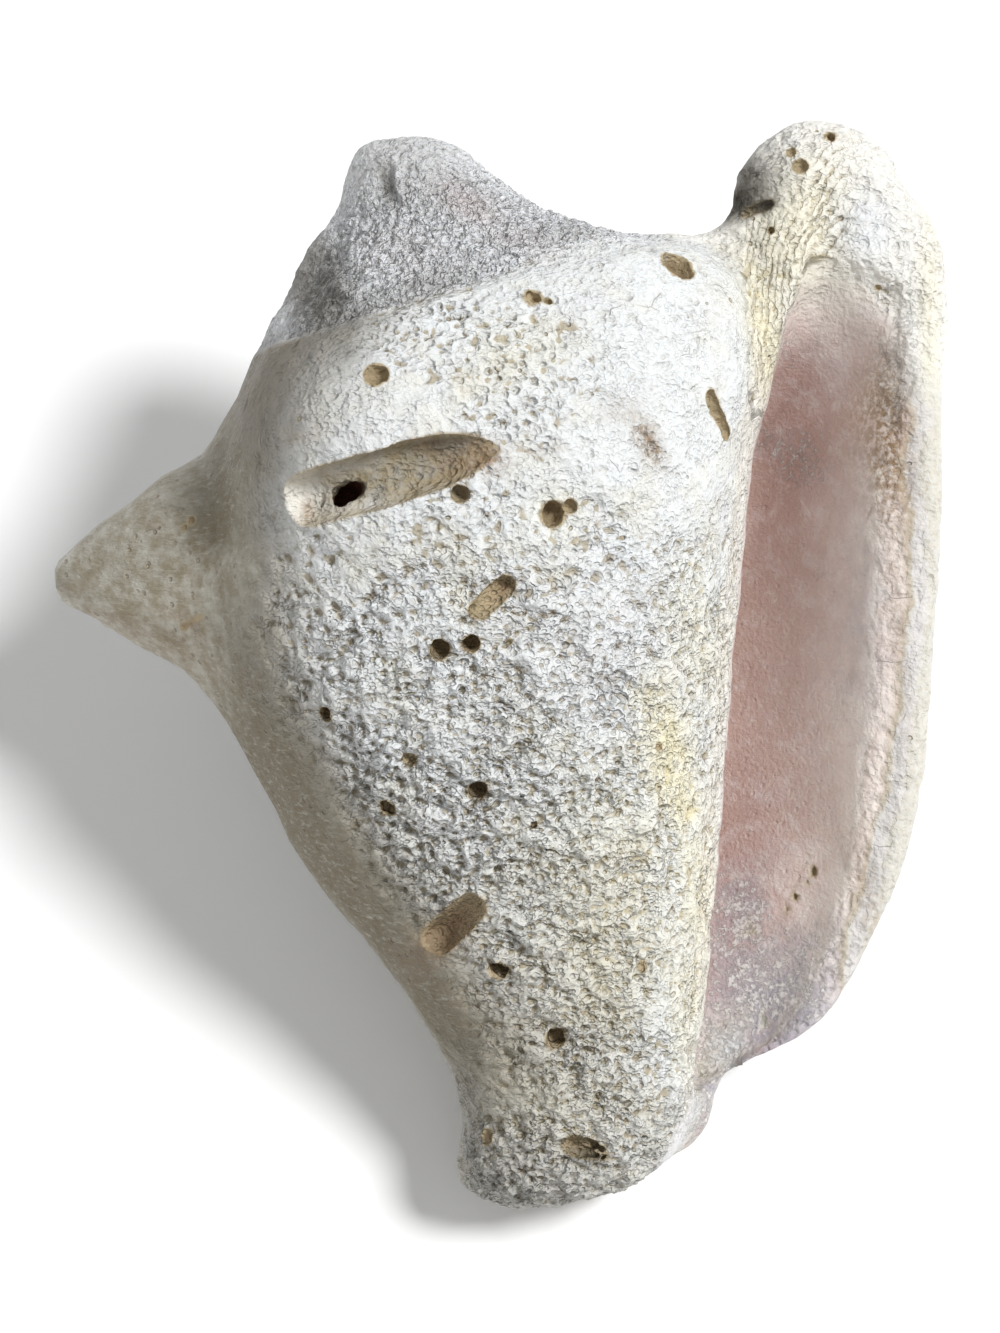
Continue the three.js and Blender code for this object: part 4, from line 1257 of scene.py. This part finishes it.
class ConchForm(bpy.types.PropertyGroup):
    """Sizes of the shell's surface."""

    net_cell: length("Net cell", "Size of the plain form's faces before they are subdivided", 0.001, 0.0008, 0.004, 4)
    fineness: IntProperty(
        name="Fineness", description="How often each face is subdivided before the surface is worn",
        default=1, min=0, max=2,
    )
    most_triangles: IntProperty(
        name="Most triangles", description="How many triangles the finished shell may have",
        default=196000, min=20000, max=199000,
    )
    inset: length("Inset", "How far the whole surface has worn back", 0.00015, most=0.002)
    undulation: length("Undulation", "Depth of the broad dents", 0.0006)
    ridge_height: length("Ridge height", "Height of the sharp ridges between the pits", 0.0011)
    pit_depth: length("Pit depth", "Depth of the round pits that lie side by side", 0.0008)
    grain_height: length("Grain height", "Height of the sugary grains on the spire", 0.0007)
    layer_height: length("Layer height", "Depth of the lines between layers of growth", 0.0005)


def colour(name, description, value):
    """A colour of the shell that a user may change."""
    return FloatVectorProperty(name=name, description=description, default=value, size=3, min=0, max=1, subtype="COLOR")


class ConchColours(bpy.types.PropertyGroup):
    """Colours of the shell."""

    chalk: colour("Chalk", "The worn lime of the front", (0.79, 0.81, 0.81))
    cream: colour("Cream", "Warmer patches of the lime", (0.77, 0.75, 0.66))
    bluish: colour("Bluish", "Cool, thin lime", (0.78, 0.81, 0.85))
    # The pit colour is painted shade on the floors of pits, with a tan tint; it also mottles the borings.
    pit_shade_and_tan: colour("Pits", "The floors of small pits", (0.38, 0.31, 0.19))
    # The polished colour is partly painted shade on the flank and spine, which face away from the light.
    polished: colour("Polished", "The polished flank and spine", (0.37, 0.315, 0.21))
    # The flank colour is painted shade on the left side, partly a brownish stain of sand.
    shaded_flank: colour("Flank", "The left side, stained by sand", (0.18, 0.145, 0.085))
    spire: colour("Spire", "The sugary lime of the spire", (0.92, 0.93, 0.94))
    # Painted shade between the spire's grains.
    gap_shade: colour("Shaded gaps", "Between the grains of the spire", (0.34, 0.32, 0.30))
    # Partly sand, partly painted shade on the lower front.
    sand: colour("Sand", "The lower part of the front, ingrained with sand", (0.52, 0.48, 0.38))
    # This colour is partly dirt and partly painted shade in sheltered places.
    grey_dirt_and_shade: colour("Grey", "Grey dirt in sheltered places", (0.27, 0.25, 0.22))
    white: colour("White", "The bright lime of the lobe and of the columella's edge", (0.90, 0.88, 0.82))
    # Partly black grime and partly painted shadow in the lobe's crevice and under edges.
    soot_and_shadow: colour("Soot", "Black grime in the crevice of the lobe", (0.11, 0.10, 0.08))
    veil: colour("Veil", "The lilac film at the foot of the mouth", (0.42, 0.41, 0.48))
    # Brown stains and specks, also used for painted shade under the spine and the groove's edge.
    dirt_and_shade: colour("Dirt", "Brown stains", (0.33, 0.22, 0.13))
    yellow: colour("Yellow", "Yellow stains beside the columella", (0.92, 0.84, 0.55))
    rose: colour("Rose", "Faint pink on the spire and the lip", (0.62, 0.49, 0.46))
    rim: colour("Rim", "The rim of the lip", (0.70, 0.66, 0.57))
    lilac: colour("Lilac", "The thin layers beside the lining", (0.78, 0.75, 0.78))
    tan: colour("Tan", "The lining's broken edge", (0.48, 0.39, 0.28))
    ochre: colour("Ochre", "The lines between layers of growth", (0.56, 0.48, 0.32))
    pink: colour("Pink", "The mouth's lining", (0.56, 0.395, 0.355))
    # Paler lining, also used as painted light through the lip and in the middle of the mouth.
    pale_pink_and_glow: colour("Pale pink", "Paler patches of the lining", (0.91, 0.81, 0.75))
    # Deeper pink, also used as painted shade deep in the mouth.
    deep_pink_and_shade: colour("Deep pink", "The lining deep in the mouth", (0.52, 0.36, 0.31))
    crust: colour("Crust", "Crumbs of lime on the lining", (0.85, 0.83, 0.80))
    boring: colour("Borings", "The walls of the borings", (0.52, 0.42, 0.27))
    # Painted shade deeper in the borings.
    boring_shade: colour("Dark borings", "Deeper in the borings", (0.22, 0.16, 0.09))
    groove: colour("Groove", "The floor of the long boring", (0.38, 0.36, 0.31))
    # Painted shade deep inside the borings.
    deep_boring_shade: colour("Deep borings", "Deep inside the borings", (0.15, 0.06, 0.03))


class ConchStudio(bpy.types.PropertyGroup):
    """Light and floor."""

    key_power: FloatProperty(
        name="Key light", description="Strength of the light from the right, in watts per square metre",
        default=2.75, min=0,
    )
    key_spread: FloatProperty(
        name="Key spread", description="How wide the key light seems from the shell, which softens its shadows",
        default=0.25, min=0, max=3, unit="ROTATION", subtype="ANGLE",
    )
    fill_power: FloatProperty(
        name="Fill light", description="Power of the soft light from the upper left",
        default=0.4, min=0, unit="POWER",
    )
    sky: FloatProperty(name="Room light", description="Strength of the white room round the shell", default=0.44, min=0)
    floor: colour("Floor", "The pale floor", (0.95, 0.95, 0.95))
    floor_size: FloatProperty(
        name="Floor size", description="Length of the floor's sides", default=6.0, unit="LENGTH", subtype="DISTANCE",
    )


# Where the lights stand: direction in the photograph's frame, and distance from the shell's middle in metres
KEY_PLACE = ((0.55, 0.35, 0.76), 1.6)
FILL_PLACE = ((-0.5, 0.7, 0.8), 1.1)
FILL_SIZE = 0.9
SENSOR = 36


class CONCH_OT_studio(bpy.types.Operator):
    """Makes the floor, the lights and the camera."""

    bl_idname = "conch.make_studio"
    bl_label = "Make studio"
    bl_options = {"REGISTER", "UNDO"}

    def execute(self, context):
        studio = context.scene.conch_studio
        half = studio.floor_size / 2
        corners = np.array([(-half, -half, 0), (half, -half, 0), (half, half, 0), (-half, half, 0)], float)
        floor = object_of("Floor", mesh_of("floor", corners, [[0, 1, 2, 3]]))
        floor.data.materials.append(floor_material(tuple(studio.floor)))

        middle = Vector(to_rest(np.zeros((1, 3)))[0])
        turn = Matrix([list(row) for row in LEAN])
        key = bpy.data.lights.new("Key light", "SUN")
        key.angle = studio.key_spread
        fill = bpy.data.lights.new("Fill light", "AREA")
        fill.size = FILL_SIZE
        for light, (direction, distance), power in (
            (key, KEY_PLACE, studio.key_power), (fill, FILL_PLACE, studio.fill_power),
        ):
            light.energy = power
            lamp = bpy.data.objects.new(light.name, light)
            toward = turn @ Vector(direction).normalized()
            facing = toward.to_track_quat("Z", "Y").to_matrix().to_4x4()
            lamp.matrix_world = Matrix.Translation(middle + toward * distance) @ facing
            context.scene.collection.objects.link(lamp)

        world = bpy.data.worlds.new("White room")
        world.use_nodes = True
        world.node_tree.nodes["Background"].inputs["Color"].default_value = (1.0, 1.0, 1.0, 1.0)
        world.node_tree.nodes["Background"].inputs["Strength"].default_value = studio.sky
        context.scene.world = world
        context.scene.view_settings.view_transform = "Standard"

        camera = bpy.data.cameras.new("Camera")
        camera.sensor_fit = "VERTICAL"
        camera.sensor_height = SENSOR
        camera.lens = SENSOR * CAMERA_DISTANCE / (PHOTO_SIZE[1] * PIXEL)
        camera.clip_end = 20
        holder = bpy.data.objects.new("Camera", camera)
        place = Vector(to_rest(np.array([[0, 0, CAMERA_DISTANCE]], float))[0])
        holder.matrix_world = Matrix.Translation(place) @ turn.to_4x4()
        context.scene.collection.objects.link(holder)
        context.scene.camera = holder
        return {"FINISHED"}


class CONCH_OT_shell(bpy.types.Operator):
    """Makes the worn shell in place of its plain solid."""

    bl_idname = "conch.make_shell"
    bl_label = "Make shell"
    bl_options = {"REGISTER", "UNDO"}

    def execute(self, context):
        form = context.scene.conch_form
        colours = context.scene.conch_colours
        material = shell_material(form, colours)
        points, quads = net_of(shell_field, *REACH, form.net_cell * 1000)
        points = draw_onto(shell_field, points, 2, 1.0)
        shell = object_of("conch_shell", mesh_of("conch_shell", to_rest(points), quads))
        put_zones(shell.data, zones_of(points))

        run_nodes(shell, weathering(form, material), {
            "Fineness": form.fineness,
            "Inset": form.inset * 1000,
            "Undulation": form.undulation * 1000,
            "Relief": 1.0,
        })
        found = rods()
        for number in range(3):
            points, faces = joined([burrow(*rod[:-1]) for rod in found if rod[-1] == number])
            bore(shell, object_of("Boring tool", mesh_of("boring_tool", to_rest(points), faces)))
        self.bore_back(shell)
        own = to_own(points_of(shell.data))
        zones = zones_of(own)
        detail = np.maximum.reduce([
            zones["chalk"], zones["comb"] * 0.8, zones["spire"], zones["layered"], zones["rim"],
        ])
        detail = np.maximum(detail, 0.6 * smooth(zones["depth"], 0.5, 2.5) * (1 - zones["inside"]))
        detail = np.maximum(detail, bored_of(own, found, 1.0, 2.5))
        front = smooth(own[:, 2], -20, 0)
        thin_out(shell, form.most_triangles, 1 - detail * (0.3 + 0.7 * front))

        mesh = shell.data
        for attribute in list(mesh.attributes):
            if attribute.domain == "POINT" and attribute.data_type == "FLOAT":
                mesh.attributes.remove(attribute)
        own = to_own(points_of(mesh))
        zones = zones_of(own)
        # How deep each point lies in a hollow, used to paint shade in hollows.
        zones["near_hollow"], zones["wide_hollow"] = hollows_of(mesh)
        worn = np.maximum.reduce([zones["chalk"], zones["comb"], zones["spire"], zones["layered"]])
        zones["near_hollow"] = zones["near_hollow"] * smooth(worn, 0.3, 0.5)
        on_back = (1 - smooth(own[:, 2], -16, -6)) * (1 - zones["inside"])
        zones["bored"] = np.maximum(
            bored_of(own, found, -0.05, 0.2) * (1 - zones["spire"]),
            on_back * smooth(zones["depth"], 2.5, 3.3) * smooth(zones["wide_hollow"], 0.02, 0.12),
        )
        put_zones(mesh, zones)
        mesh.materials.clear()
        mesh.materials.append(material)
        mesh.shade_smooth()
        mesh.update()
        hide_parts("shell")
        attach(shell, "root")
        return {"FINISHED"}

    def bore_back(self, shell):
        """Small borings, scattered over the back and sides."""
        spots = object_of("Boring spots", shell.data.copy())
        own = to_own(points_of(spots.data))
        x, y, z = own.T
        zones = zones_of(own)
        room = (1 - smooth(z, -16, -6)) * (1 - zones["inside"]) * smooth(zones["lip"] * (z + 20), 8, -1.99)
        low = y * LEAN[2, 1] + z * LEAN[2, 2] + REST_HEIGHT
        room = room * smooth(low, 4, 8)
        put_zones(spots.data, {"borings": room})
        run_nodes(spots, scatter_tree(SCATTER_SEED), {"Seed": SCATTER_SEED})
        bore(shell, spots)


class CONCH_PT_panel(bpy.types.Panel):
    """Lists the shell's and the studio's settings."""

    bl_label = "Conch shell"
    bl_idname = "CONCH_PT_panel"
    bl_space_type = "VIEW_3D"
    bl_region_type = "UI"
    bl_category = "Conch"

    def draw(self, context):
        layout = self.layout
        for title, group, operator in (
            ("Form", context.scene.conch_form, CONCH_OT_shell.bl_idname),
            ("Colours", context.scene.conch_colours, None),
            ("Studio", context.scene.conch_studio, CONCH_OT_studio.bl_idname),
        ):
            box = layout.box()
            box.label(text=title)
            for name in group.__annotations__:
                box.prop(group, name)
            if operator:
                box.operator(operator)


CLASSES = (ConchForm, ConchColours, ConchStudio, CONCH_OT_studio, CONCH_OT_shell, CONCH_PT_panel)


def register():
    for item in CLASSES:
        bpy.utils.register_class(item)
    bpy.types.Scene.conch_form = PointerProperty(type=ConchForm)
    bpy.types.Scene.conch_colours = PointerProperty(type=ConchColours)
    bpy.types.Scene.conch_studio = PointerProperty(type=ConchStudio)


def unregister():
    del bpy.types.Scene.conch_studio
    del bpy.types.Scene.conch_colours
    del bpy.types.Scene.conch_form
    for item in reversed(CLASSES):
        bpy.utils.unregister_class(item)


def main():
    register()
    bpy.ops.conch.make_studio()
    bpy.ops.conch.make_shell()


if __name__ == "__main__":
    main()
